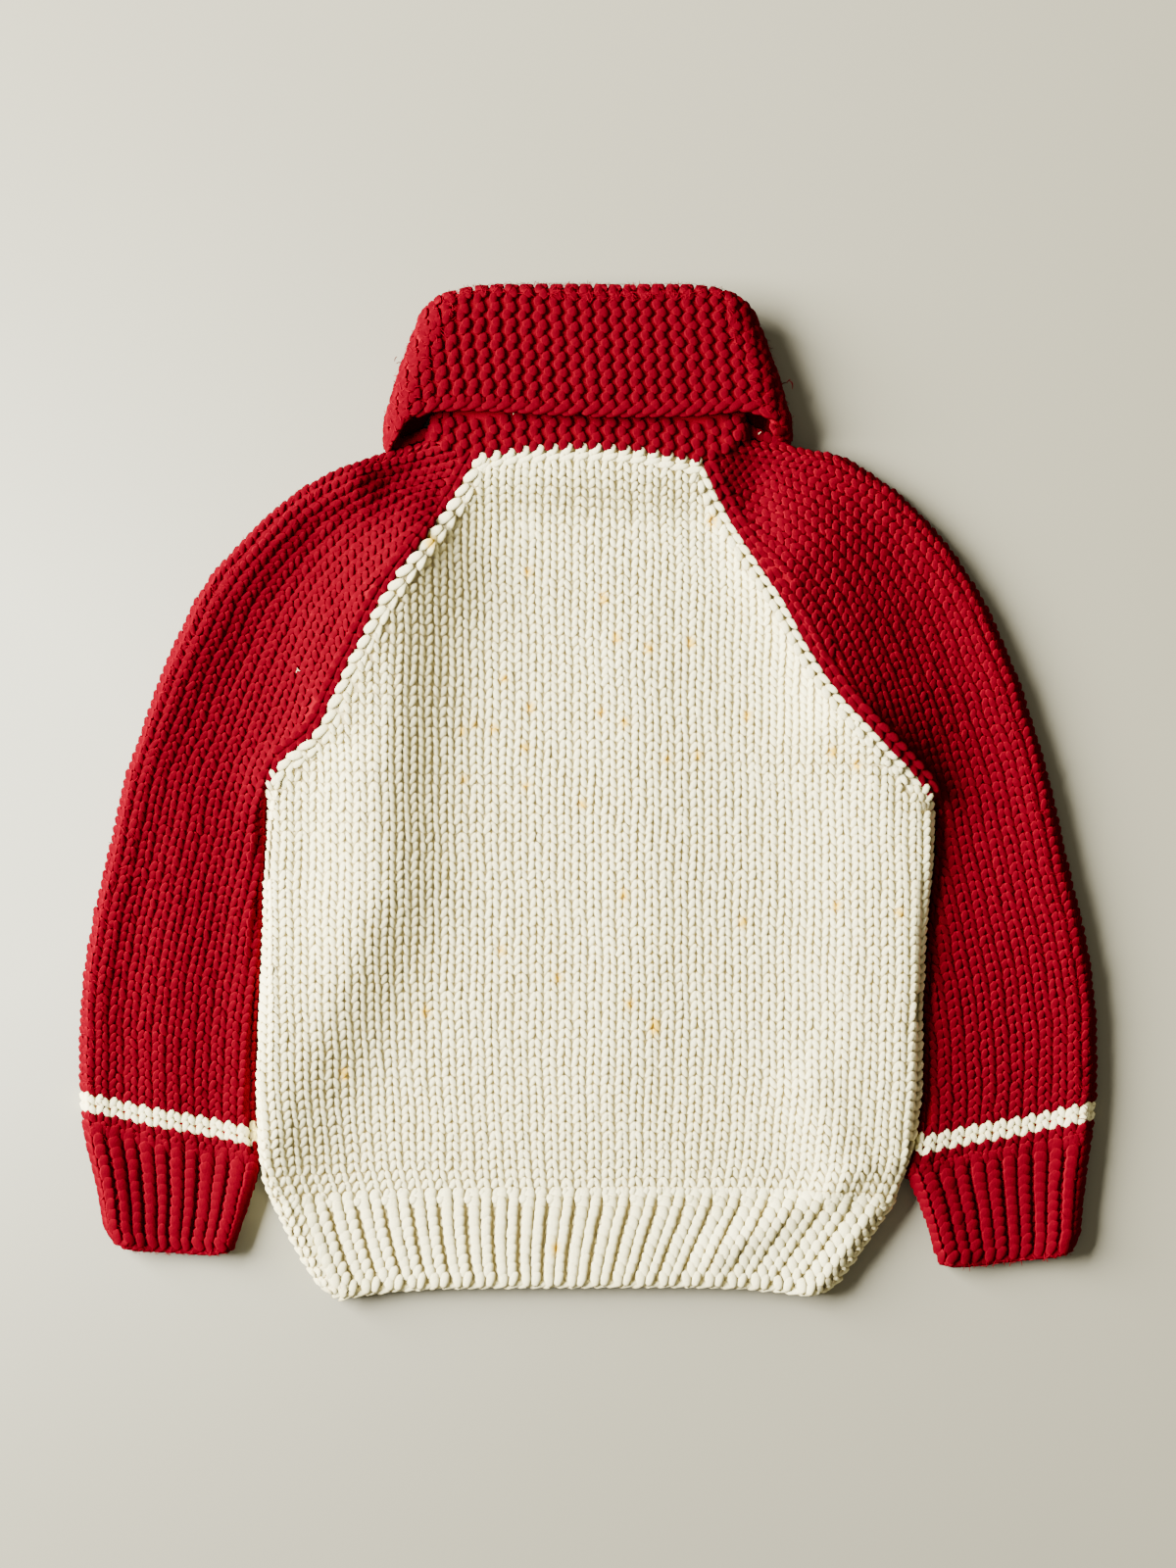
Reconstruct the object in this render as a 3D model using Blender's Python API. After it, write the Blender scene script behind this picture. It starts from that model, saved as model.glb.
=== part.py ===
"""Knitted cowichan sweater laid flat on its front, back side up.

Millimetres, +X to the right and +Y to the neck as seen from above, z = 0 at
the surface it rests on.  Every piece is a wall of knitted cloth: each row of
a table gives one section, a path of outer points with a path of inner points
one cloth thickness behind it, and the sections are joined into one body.
"""
import math
import bpy
import numpy as np

# ---------------------------------------------------------------- sizes
CLOTH = 4.5            # wall of the stockinette
GAP = 0.34             # air between two pieces at a seam
REST = 2 * CLOTH + GAP  # top of two cloths that lie on each other
ROLL = 6.0             # half thickness of a folded edge, sideways
SIDE_PUFF = 2.6        # how much a folded side stands above REST
SLEEVE_PUFF = 3.2      # the same at the outer fold of a sleeve
PUFF_REACH = 12.0      # how far in a puffed edge fades
SEAM_RISE = 4.2        # height of the ridge under a raglan seam
SEAM_REACH = 13.0      # its reach to each side
NECK_RISE = 8.7        # lift of the upper cloth over the collar's front
RIB_RISE = 1.3         # height of a rib column over the rib's ground
COLLAR = 5.7           # wall of the garter stitch collar
COLLAR_MID = 12.8      # height of the middle of the flattened collar
COLLAR_DROP = 6.1      # how far its front half sinks at the neck seam
GARTER = 3.8           # half the pitch of the garter ridges
GARTER_RISE = 1.3      # height of a garter ridge
ROPE_RISE = 1.1        # swelling along the edge of the fall

# ------------------------------------------------- outlines seen from above
# back body above the hem rib: left side x, y, right side x, y, y at the
# middle of the row, share of the side fold (1 a folded side, 0 a raglan)
BODY = [
    (-160.3, -211.0, 154.9, -210.5, -206.0, 1.0),
    (-165.5, -199.0, 160.0, -197.0, -194.0, 1.0),
    (-168.0, -180.5, 166.0, -180.5, -176.5, 1.0),
    (-169.0, -150.5, 170.0, -150.5, -148.0, 1.0),
    (-167.5, -110.5, 170.0, -110.5, -110.0, 1.0),
    (-166.0, -70.5, 172.0, -70.5, -70.5, 1.0),
    (-165.0, -40.0, 175.0, -40.0, -40.0, 1.0),
    (-164.0, -22.0, 176.0, -24.0, -23.0, 1.0),
    (-163.0, -7.0, 175.5, -12.0, -9.5, 0.6)]
# raglan lines and the sleeves' outer folds: raglan x, y, fold x, y
RAGLAN_LEFT = [
    (-162.0, 4.5, -235.0, 10.5), (-157.0, 16.5, -232.0, 18.5),
    (-149.0, 22.5, -229.0, 26.5), (-141.0, 29.0, -226.0, 35.5),
    (-134.5, 38.5, -222.0, 47.5), (-129.5, 50.5, -218.0, 58.5),
    (-124.0, 62.5, -213.0, 70.5), (-118.0, 74.0, -207.0, 83.5),
    (-111.5, 87.5, -200.0, 98.5), (-103.5, 101.5, -190.0, 113.0),
    (-94.5, 114.5, -178.0, 126.0), (-86.0, 126.0, -164.0, 140.5),
    (-78.0, 137.0, -148.0, 153.5), (-71.0, 148.0, -128.0, 164.5),
    (-64.0, 159.0, -104.0, 173.0), (-58.0, 170.0, -82.0, 179.0)]
RAGLAN_RIGHT = [
    (173.0, -1.5, 235.0, 3.5), (168.0, 7.0, 233.0, 10.5),
    (160.0, 15.5, 231.0, 18.0), (152.5, 23.0, 229.0, 25.5),
    (145.0, 31.0, 226.0, 34.5), (137.0, 39.5, 223.0, 43.5),
    (129.0, 48.5, 220.0, 54.5), (121.0, 59.5, 215.0, 65.5),
    (114.0, 70.5, 210.0, 78.5), (107.0, 83.0, 204.0, 92.0),
    (100.0, 96.5, 196.0, 106.0), (91.5, 109.5, 186.0, 121.5),
    (82.5, 123.0, 173.0, 137.5), (74.0, 136.5, 156.0, 154.0),
    (66.0, 151.0, 130.0, 171.0), (58.0, 168.0, 85.0, 179.5)]
# sleeve below the underarm: y of the inner fold, outer fold x, y, share of
# the inner fold; the inner fold's x follows the side of the body
ARM_LEFT = [
    (-189.6, -257.0, -171.6, 1.0), (-178.0, -258.5, -157.0, 1.0),
    (-157.0, -259.0, -140.0, 1.0), (-130.0, -258.5, -115.0, 1.0),
    (-100.0, -256.5, -91.0, 1.0), (-70.0, -252.0, -64.0, 1.0),
    (-45.0, -246.5, -40.0, 1.0), (-22.0, -241.0, -17.0, 1.0),
    (-7.0, -238.0, -2.0, 0.6)]
ARM_RIGHT = [
    (-195.1, 256.0, -176.6, 1.0), (-180.0, 257.5, -160.0, 1.0),
    (-157.0, 258.5, -139.0, 1.0), (-130.0, 258.0, -114.0, 1.0),
    (-100.0, 255.5, -89.0, 1.0), (-70.0, 250.5, -63.0, 1.0),
    (-45.0, 244.5, -39.0, 1.0), (-24.0, 240.0, -19.0, 1.0),
    (-12.0, 237.5, -8.0, 0.6)]
# hem rib from its lower edge up: left x, y, right x, y, y at the middle
HEM = [
    (-128.5, -258.0, 117.5, -257.0, -252.0),
    (-138.0, -251.0, 127.0, -250.0, -243.0),
    (-146.0, -238.5, 136.0, -238.0, -231.5),
    (-153.5, -224.5, 145.5, -224.5, -219.0),
    (-160.0, -211.5, 154.5, -211.0, -206.5)]
# cuffs from the lower edge up: inner fold x, y, outer fold x, y, sag between
CUFF_LEFT = [
    (-182.0, -233.5, -241.5, -230.0, -2.8), (-178.5, -226.0, -246.5, -220.0, -2.0),
    (-174.5, -214.0, -248.7, -207.0, -1.0), (-170.5, -202.0, -252.5, -189.0, 0.0),
    (-167.0, -190.1, -257.0, -172.1, 0.0)]
CUFF_RIGHT = [
    (180.5, -241.5, 246.5, -234.0, -1.5), (176.0, -231.0, 250.0, -223.5, -1.0),
    (172.5, -219.0, 251.2, -210.0, 0.0), (168.0, -206.5, 253.0, -194.0, 0.0),
    (162.6, -195.6, 256.0, -177.1, 0.0)]
# soft folds: x, y, x, y, ... along the crest, then height and reach
BACK_FOLDS = [
    ((-92, 112, -99, 84, -101, 44, -105, 4, -104, -46, -126, -92, -148, -134,
      -160, -168), 9.0, 25.0),
    ((84, 128, 108, 92, 134, 56, 160, 16, 166, -20, 165, -80, 161, -140,
      152, -180), 6.5, 27.0),
    ((140, -192, 105, -213, 66, -236), 2.4, 8.0),
    ((20, 60, 34, -60, 10, -150), 1.4, 26.0)]
LEFT_FOLDS = [
    ((-120, 155, -147, 141, -168, 117, -186, 91, -202, 55, -212, 20), 5.5, 14.0),
    ((-133, 92, -141, 72), 1.6, 7.0),
    ((-226, -10, -232, -90, -236, -150), 1.6, 18.0)]
RIGHT_FOLDS = [
    ((118, 157, 160, 124, 186, 92, 204, 60, 222, 0, 234, -90, 238, -150), 5.0, 18.0)]
# collar by height: y, half width of the fall's face, of the stand's face
COLLAR_WIDTH = [
    (140.0, 104.4, 83.5), (176.0, 104.0, 83.5), (190.0, 103.6, 82.2),
    (202.0, 100.0, 81.2), (215.0, 96.0, 80.0), (230.0, 90.8, 78.6),
    (242.0, 85.6, 77.6), (252.0, 83.0, 76.7), (262.0, 82.0, 75.8)]
# collar around the loop, upper half: place along the half width, top of the
# fold, edge of the fall
COLLAR_TOP = [
    (-1.0, 254.0, 190.5), (-0.86, 256.5, 194.0), (-0.7, 257.6, 194.5),
    (-0.5, 258.0, 194.0), (-0.25, 258.0, 192.5), (0.0, 258.0, 191.3),
    (0.3, 257.6, 191.3), (0.6, 258.0, 191.6), (0.75, 257.8, 193.0),
    (0.88, 256.8, 194.0), (1.0, 254.5, 192.0)]
# side turn of the collar: angle from level, top of the fold, edge of the
# fall on the left, on the right
COLLAR_TURN = [
    (90.0, 255.0, 190.5, 190.5), (64.0, 253.0, 184.5, 181.5),
    (38.0, 249.5, 177.5, 179.3), (12.0, 247.0, 174.8, 178.8),
    (-14.0, 245.5, 174.8, 178.9), (-40.0, 245.0, 175.8, 179.3),
    (-65.0, 245.0, 177.6, 180.2), (-90.0, 245.0, 181.0, 181.0)]
# lower half (the hidden front): place, top of the fold, edge of the fall
COLLAR_UNDER = [
    (1.0, 245.0, 181.0), (0.965, 244.6, 181.5), (0.93, 244.3, 190.0),
    (0.905, 244.0, 198.5), (0.82, 243.0, 198.0), (0.6, 241.5, 188.0),
    (0.3, 240.5, 186.0), (0.0, 240.0, 186.0)]


# ------------------------------------------------------------ small helpers
def smooth(t):
    """0 below 0, 1 above 1, an even S between."""
    t = min(1.0, max(0.0, t))
    return t * t * (3.0 - 2.0 * t)


def lerp_table(table, key, col, at):
    """One column of a table read between its rows at a value of another."""
    keys = [row[key] for row in table]
    vals = [row[col] for row in table]
    if keys[0] > keys[-1]:
        keys, vals = keys[::-1], vals[::-1]
    return float(np.interp(at, keys, vals))


def fold_height(folds, x, y):
    """Sum of the folds: each a crest line with a bell across it."""
    total = 0.0
    for line, height, reach in folds:
        pts = np.array(line, dtype=float).reshape(-1, 2)
        a, b = pts[:-1], pts[1:]
        ab = b - a
        t = np.clip(((np.array((x, y)) - a) * ab).sum(1) / (ab * ab).sum(1), 0, 1)
        d = np.sqrt(((a + ab * t[:, None] - (x, y)) ** 2).sum(1)).min()
        total += height * math.exp(-(d / reach) ** 2)
    return total


def neck_lift(x, y):
    """The upper cloth is lifted by the collar's front beneath it."""
    return (NECK_RISE * smooth((y - 136.0) / 28.0)
            * (1.0 - smooth((abs(x) - 60.0) / 30.0)))


def seam_ridge(d, y):
    """The ridge under a raglan seam, by distance from the seam."""
    return SEAM_RISE * math.exp(-(d / SEAM_REACH) ** 2) * (1.0 - smooth((y - 130.0) / 34.0))


def side_x(side, y):
    """Side of the body, left (0) or right (2), at a height y."""
    rows = BODY + [(t[0], t[1], u[0], u[1], 0.0, 0.0)
                   for t, u in zip(RAGLAN_LEFT[:1], RAGLAN_RIGHT[:1])]
    return lerp_table(rows, side + 1, side, y)


def body(name, colour, rings):
    """Join the sections into one closed body.  Each ring is a pair: the outer
    path and the inner path, point for point."""
    n = len(rings[0][0])
    pts = []
    for outer, inner in rings:
        pts.extend(outer)
        pts.extend(inner)
    tri = []

    def quad(a, b, c, d):
        tri.append((a, b, c))
        tri.append((a, c, d))
    for r in range(len(rings) - 1):
        o, p = r * 2 * n, (r + 1) * 2 * n
        for i in range(n - 1):
            quad(o + i, o + i + 1, p + i + 1, p + i)
            quad(o + n + i, p + n + i, p + n + i + 1, o + n + i + 1)
        quad(o, p, p + n, o + n)
        quad(o + n - 1, o + 2 * n - 1, p + 2 * n - 1, p + n - 1)
    last = (len(rings) - 1) * 2 * n
    for i in range(n - 1):
        quad(i, n + i, n + i + 1, i + 1)
        quad(last + i, last + i + 1, last + n + i + 1, last + n + i)
    v = np.array(pts, dtype=float) * 0.001
    f = np.array(tri)
    a, b, c = v[f[:, 0]], v[f[:, 1]], v[f[:, 2]]
    if (np.cross(a, b) * c).sum() < 0:
        f = f[:, ::-1]
    mesh = bpy.data.meshes.new(name)
    mesh.from_pydata([tuple(map(float, p)) for p in v], [],
                     [tuple(map(int, t)) for t in f])
    mesh.update()
    obj = bpy.data.objects.new(name, mesh)
    bpy.context.scene.collection.objects.link(obj)
    mat = bpy.data.materials.new(name)
    mat.use_nodes = True
    bsdf = mat.node_tree.nodes["Principled BSDF"]
    bsdf.inputs["Base Color"].default_value = (*colour, 1.0)
    bsdf.inputs["Roughness"].default_value = 0.95
    mesh.materials.append(mat)
    return obj


def fold_up(h, k, flip, steps=3):
    """A folded edge from its middle height up to the top of the cloth, or
    flattened into a plain edge where k is 0.  Gives the distance from the
    edge and the height, for the outer and the inner face; flip turns the
    fold down to the floor instead."""
    outer, inner = [], []
    for j in range(steps):
        f = j / steps
        a = math.radians(90.0 * (1.0 - f))
        lift = 0.5 * GAP * (1.0 - f)
        so = ROLL * (1.0 - math.sin(a))
        si = ROLL - (ROLL - CLOTH) * math.sin(a)
        zo = h / 2 + h / 2 * math.cos(a) + lift
        zi = h / 2 + (h / 2 - CLOTH) * math.cos(a) + lift
        flat = ROLL * f
        so, si = so * k + flat * (1 - k), si * k + flat * (1 - k)
        zo, zi = zo * k + h * (1 - k), zi * k + (h - CLOTH) * (1 - k)
        if flip:
            zo, zi = h - zo, h - zi
        outer.append((so, zo))
        inner.append((si, zi))
    return outer, inner


# --------------------------------------------------------- body panels
def body_rows():
    """Every row of the body from the hem rib to the neck."""
    rows = list(BODY)
    n = len(RAGLAN_LEFT)
    for i in range(n):
        lx, ly = RAGLAN_LEFT[i][:2]
        rx, ry = RAGLAN_RIGHT[i][:2]
        arch = 6.6 * smooth((i - n * 0.5) / (n * 0.5 - 1))
        rows.append((lx + 0.3, ly, rx - 0.3, ry, (ly + ry) / 2 + arch, 0.0))
    return rows


def row_y(row, x, power):
    """y along a row: straight between its ends, bowed to its middle."""
    lx, ly, rx, ry, cy = row[:5]
    t = (x - lx) / (rx - lx)
    bow = cy - (ly + ry) / 2
    return ly + (ry - ly) * t + bow * (1 - abs(2 * t - 1) ** power)


def back_top(x, y, dl, dr, k):
    """Top of the back at a point: dl and dr are the distances to its sides."""
    h = REST + fold_height(BACK_FOLDS, x, y) + neck_lift(x, y)
    for d in (dl, dr):
        e = max(0.0, d - ROLL)
        h += k * SIDE_PUFF * math.exp(-(e / PUFF_REACH) ** 2)
        h += (1 - k) * seam_ridge(d, y)
    return h


def back_section(row, power, across, rise=None):
    """Section of the back along a row; across are the shares of the way
    between the folded sides, rise an extra height at each of them."""
    lx, ly, rx, ry, cy, k = row
    xs = [lx + ROLL + (rx - lx - 2 * ROLL) * t for t in across]
    tops = [back_top(x, row_y(row, x, power), x - lx, rx - x, k) for x in xs]
    outer, inner = [], []
    o, i = fold_up(tops[0], k, False)
    outer += [(lx + s, row_y(row, lx + s, power), z) for s, z in o]
    inner += [(lx + s, row_y(row, lx + s, power), z) for s, z in i]
    for n, (x, h) in enumerate(zip(xs, tops)):
        y = row_y(row, x, power)
        outer.append((x, y, h + (rise[n] if rise else 0.0)))
        inner.append((x, y, h - CLOTH))
    o, i = fold_up(tops[-1], k, False)
    outer += [(rx - s, row_y(row, rx - s, power), z) for s, z in o[::-1]]
    inner += [(rx - s, row_y(row, rx - s, power), z) for s, z in i[::-1]]
    return outer, inner


def front_section(row, side, power, cy, across=5):
    """Section of one front, on the floor, from its side to the middle."""
    lx, ly, rx, ry, _, k = row
    h = back_top(lx + ROLL if side < 0 else rx - ROLL,
                 ly if side < 0 else ry, ROLL, 300.0, k)
    if k == 0:
        h = CLOTH
    edge = lx if side < 0 else rx
    wide = abs(edge) - 0.2
    sgn = -side
    full = (row[0], row[1], row[2], row[3], cy)
    outer, inner = [], []
    if k > 0:
        o, i = fold_up(h, 1.0, True)
        of, inf = fold_up(CLOTH, 0.0, True)
        o = [(a[0] * k + b[0] * (1 - k), a[1] * k + b[1] * (1 - k)) for a, b in zip(o, of)]
        i = [(a[0] * k + b[0] * (1 - k), a[1] * k + CLOTH * (1 - k)) for a, b in zip(i, inf)]
    else:
        o = [(ROLL * j / 3, 0.0) for j in range(3)]
        i = [(ROLL * j / 3, CLOTH) for j in range(3)]
    for (s, z), (si, zi) in zip(o, i):
        x, xi = edge + sgn * s, edge + sgn * si
        outer.append((x, row_y(full, x, power), z))
        inner.append((xi, row_y(full, xi, power), zi))
    for j in range(across):
        s = ROLL + (wide - ROLL) * j / (across - 1)
        x = edge + sgn * s
        y = row_y(full, x, power)
        outer.append((x, y, 0.0))
        inner.append((x, y, CLOTH))
    return outer, inner


def front_rows():
    """The rows of the front: as the back's, with a lower neck."""
    rows = [r for r in BODY]
    n = len(RAGLAN_LEFT)
    for i in range(n):
        f = i * (n - 2) / (n - 1)
        j = min(int(f), n - 2)
        t = f - j
        pl = [RAGLAN_LEFT[j][c] * (1 - t) + RAGLAN_LEFT[j + 1][c] * t for c in (0, 1)]
        pr = [RAGLAN_RIGHT[j][c] * (1 - t) + RAGLAN_RIGHT[j + 1][c] * t for c in (0, 1)]
        dip = -5.0 * smooth((i - n * 0.5) / (n * 0.5 - 1))
        rows.append((pl[0] + 0.3, pl[1], pr[0] - 0.3, pr[1],
                     (pl[1] + pr[1]) / 2 + dip, 0.0))
    return rows


# -------------------------------------------------------------- sleeves
def sleeve_rows(side):
    """Stations of a sleeve: inner point above, inner point below, outer
    fold, share of the inner fold."""
    arm, rag = (ARM_LEFT, RAGLAN_LEFT) if side < 0 else (ARM_RIGHT, RAGLAN_RIGHT)
    rows = []
    for y, ox, oy, k in arm:
        x = side_x(0 if side < 0 else 2, y) + side * 0.8
        rows.append(((x, y), (x, y), (ox, oy), k))
    n = len(rag)
    for i in range(n):
        f = i * (n - 2) / (n - 1)
        j = min(int(f), n - 2)
        t = f - j
        low = [rag[j][c] * (1 - t) + rag[j + 1][c] * t for c in (0, 1)]
        rows.append(((rag[i][0] + side * 0.3, rag[i][1]),
                     (low[0] + side * 0.3, low[1]), rag[i][2:4], 0.0))
    return rows


def sleeve_top(folds, x, y, s, wide, k):
    """Top of a sleeve: s is the distance from its inner edge."""
    h = REST + fold_height(folds, x, y) + neck_lift(x, y)
    h += (1 - k) * fold_height(BACK_FOLDS, x, y)
    e = max(0.0, wide - ROLL - s)
    h += SLEEVE_PUFF * math.exp(-(e / PUFF_REACH) ** 2)
    e = max(0.0, s - ROLL)
    h += k * SIDE_PUFF * 0.7 * math.exp(-(e / PUFF_REACH) ** 2)
    return h + (1 - k) * seam_ridge(s, y)


def sleeve_section(folds, top_in, low_in, out, k, sag, across, rise=None, under=3,
                   turn=5, turn_rise=None):
    """Section of a sleeve: from its seam below, along the floor, round the
    outer fold and back over the top to its seam."""
    ti, li, o = (np.array(p, dtype=float) for p in (top_in, low_in, out))
    wide = float(np.hypot(*(o - ti)))
    ax = (o - ti) / wide

    def plan(s):
        t = s / wide
        p = ti + ax * s
        return float(p[0]), float(p[1] + sag * (1 - abs(2 * t - 1) ** 4))
    turn_at = np.array(plan(wide - ROLL))

    def plan_low(s):
        t = s / (wide - ROLL)
        p = li + (turn_at - li) * t
        return (float(p[0]),
                float(p[1] + sag * ((1 - abs(2 * s / wide - 1) ** 4) - t * (1 - abs(1 - 2 * ROLL / wide) ** 4))))
    ss = [ROLL + (wide - 2 * ROLL) * t for t in across]
    tops = [sleeve_top(folds, *plan(s), s, wide, k) for s in ss]
    h_in, h_out = tops[0], tops[-1]
    outer, inner = [], []
    if k > 0:
        a, b = fold_up(h_in, 1.0, True)
    else:
        a, b = [(0, 0)] * 3, [(0, 0)] * 3
    for j in range(3):
        flat = ROLL * j / 3
        so, zo = a[j][0] * k + flat * (1 - k), a[j][1] * k
        si, zi = b[j][0] * k + flat * (1 - k), b[j][1] * k + CLOTH * (1 - k)
        outer.append((*plan_low(so), zo))
        inner.append((*plan_low(si), zi))
    for j in range(under):
        s = ROLL + (wide - 2 * ROLL) * j / under
        outer.append((*plan_low(s), 0.0))
        inner.append((*plan_low(s), CLOTH))
    for j in range(turn):
        a = math.pi * j / turn
        up = turn_rise[j] if turn_rise else 0.0
        so = wide - ROLL + (ROLL + up) * math.sin(a)
        si = wide - ROLL + (ROLL - CLOTH) * math.sin(a)
        outer.append((*plan(so), h_out / 2 - h_out / 2 * math.cos(a)))
        inner.append((*plan(si), h_out / 2 - (h_out / 2 - CLOTH) * math.cos(a)))
    for n in range(len(ss) - 1, -1, -1):
        outer.append((*plan(ss[n]), tops[n] + (rise[n] if rise else 0.0)))
        inner.append((*plan(ss[n]), tops[n] - CLOTH))
    a, b = fold_up(h_in, k, False)
    for j in (2, 1, 0):
        outer.append((*plan(a[j][0]), a[j][1]))
        inner.append((*plan(b[j][0]), b[j][1]))
    return outer, inner


# ------------------------------------------------------------- ribbing
def rib_places(count):
    """Shares of the way across for knit columns with grooves between, and
    the height of each place: four points a column."""
    places, heights = [], []
    for c in range(count):
        for part, up in ((0.0, 0.0), (0.22, 1.0), (0.62, 1.0), (0.84, 0.0)):
            places.append((c + part) / count)
            heights.append(RIB_RISE * up)
    return places + [1.0], heights + [0.0]


# -------------------------------------------------------------- collar
def collar_ring(place, angle, seam_y, fold_y, edge_y, drop, up):
    """Section of the collar across its strip: up the stand, over the fold
    and down the fall, the outer face, with the inner face behind it.
    place is the share of the half width on the flat halves, angle the turn
    at the sides (90 above, -90 below); up is 1 on a garter ridge."""
    top_r = COLLAR_MID - 0.02
    near, far = 0.6, top_r
    half = (far - near) / 2
    mid = near + half
    sgn = 1.0 if place >= 0 else -1.0
    flat = abs(angle) == 90.0
    a = math.radians(angle)
    g = GARTER_RISE * up

    def put(y, r, wide, sunk=0.0):
        w = smooth(1.0 - (y - seam_y) / 16.0)
        zm = COLLAR_MID - COLLAR_DROP * sunk * w
        x = (abs(place) * (wide - r) if flat else wide - r + r * math.cos(a))
        return (-0.3 + sgn * x, y, zm + r * math.sin(a))

    def fall_w(y):
        return lerp_table(COLLAR_WIDTH, 0, 1, y)

    def stand_w(y):
        return lerp_table(COLLAR_WIDTH, 0, 2, y)
    y_turn = fold_y - half
    wf, ws = fall_w(y_turn), stand_w(y_turn)
    outer, inner = [], []
    for y in (seam_y, seam_y + 8.5, seam_y + 17.0, y_turn):
        show = g * 0.7 if y < seam_y + 10.0 and angle == 90.0 else 0.0
        outer.append(put(y, near, stand_w(y) - COLLAR, drop))
        inner.append(put(y, near + COLLAR + show, stand_w(y) + show, drop))
    for deg in (45.0, 90.0, 135.0):
        b = math.radians(180.0 - deg)
        y = y_turn + (half + g) * math.sin(b)
        r = mid + (half + g) * math.cos(b)
        r = mid + half * math.cos(b) + (g if deg > 90 else 0.0)
        outer.append(put(y, r, wf - (far - r)))
        y = y_turn + (half - COLLAR) * math.sin(b)
        r = mid + (half - COLLAR) * math.cos(b)
        inner.append(put(y, r, wf - (far - r)))
    for t in (0.0, 0.5, 0.87, 1.0):
        y = y_turn + (edge_y - y_turn) * t
        bead = ROPE_RISE if t == 0.87 else (-1.2 if t == 1.0 else 0.0)
        if angle < -20:
            bead = min(bead, 0.0)
        outer.append(put(y, far + g + bead, fall_w(y) + g + bead))
        inner.append(put(y, far - COLLAR, fall_w(y) - COLLAR))
    return outer, inner


def collar_rings(neck_row):
    """Stations once round the neck, from the centre front and back to it."""
    def seam_top(x):
        lx, ly, rx, ry = neck_row[:4]
        if x < lx:
            return ly + (x - lx) * (179.0 - ly) / (-82.0 - lx) + 0.45
        if x > rx:
            return ry + (x - rx) * (179.5 - ry) / (85.0 - rx) + 0.45
        return row_y(neck_row, x, 2.0) + 0.45

    def seam_low(x):
        return float(np.interp(x, (-80.0, -76.4, -64.0, 0.0, 66.0, 79.5, 83.0),
                               (180.4, 178.2, 160.1, 150.6, 152.2, 178.3, 180.8)))
    half = 77.25
    rings = []
    first = 0.2 / half
    under = [(first if p == 0 else p, f, e) for p, f, e in COLLAR_UNDER]
    for p, f, e in under[::-1]:
        rings.append(collar_ring(-p, -90.0, seam_low(-p * half), f, e, 1.0, 0.0))
    turn = COLLAR_TURN[1:-1]
    for n, (ang, f, e, _) in enumerate(turn[::-1]):
        up = 1.0 if n % 2 and ang > -20 else 0.0
        rings.append(collar_ring(-1.0, ang, 180.4, f, e,
                                 (1 - math.sin(math.radians(ang))) / 2, up))
    count = 2 * int(round(184.0 / (2 * GARTER)))
    for n in range(count + 1):
        p = -1.0 + 2.0 * n / count
        p = p if abs(p) > 1e-6 else 1e-6
        rings.append(collar_ring(p, 90.0, seam_top(p * half),
                                 lerp_table(COLLAR_TOP, 0, 1, p),
                                 lerp_table(COLLAR_TOP, 0, 2, p), 0.0,
                                 float(n % 2)))
    for n, (ang, f, _, e) in enumerate(turn):
        up = 1.0 if n % 2 == 0 and ang > -20 else 0.0
        rings.append(collar_ring(1.0, ang, 180.8, f, e,
                                 (1 - math.sin(math.radians(ang))) / 2, up))
    for p, f, e in under:
        rings.append(collar_ring(p, -90.0, seam_low(p * half), f, e, 1.0, 0.0))
    return rings


# ---------------------------------------------------------------- build
for old in list(bpy.data.objects):
    bpy.data.objects.remove(old, do_unlink=True)

CREAM = (0.72, 0.68, 0.58)
RED = (0.34, 0.003, 0.01)

rows = body_rows()
ACROSS = [i / 22.0 for i in range(23)]
body("back", CREAM, [back_section(r, 4.0 if i < 3 else 2.0, ACROSS)
                     for i, r in enumerate(rows)])

frows = front_rows()
for side, name in ((-1, "front_left"), (1, "front_right")):
    body(name, CREAM, [front_section(r, side, 4.0 if i < 3 else 2.0, r[4])
                       for i, r in enumerate(frows)])

hem = [r + (1.0,) for r in HEM]
places, heights = rib_places(22)
body("back_hem_rib", CREAM, [back_section(r, 4.0, places, heights) for r in hem])
for side, name in ((-1, "front_left_rib"), (1, "front_right_rib")):
    body(name, CREAM, [front_section(r, side, 4.0, r[4]) for r in hem])

SLEEVE_ACROSS = [0.0, 0.08, 0.18, 0.3, 0.45, 0.6, 0.75, 0.88, 1.0]
for side, name in ((-1, "sleeve_left"), (1, "sleeve_right")):
    folds = LEFT_FOLDS if side < 0 else RIGHT_FOLDS
    body(name, RED, [sleeve_section(folds, a, b, o, k, 0.0, SLEEVE_ACROSS)
                     for a, b, o, k in sleeve_rows(side)])

places, heights = rib_places(8)
for table, name, folds in ((CUFF_LEFT, "cuff_left", LEFT_FOLDS),
                           (CUFF_RIGHT, "cuff_right", RIGHT_FOLDS)):
    body(name, RED, [sleeve_section(folds, (ix, iy), (ix, iy), (ox, oy), 1.0, sag,
                                    places, heights, turn=5,
                                    turn_rise=[0.0, 0.0, 0.8, 0.8, 0.0])
                     for ix, iy, ox, oy, sag in table])

body("collar", RED, collar_rings(rows[-1]))
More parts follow.
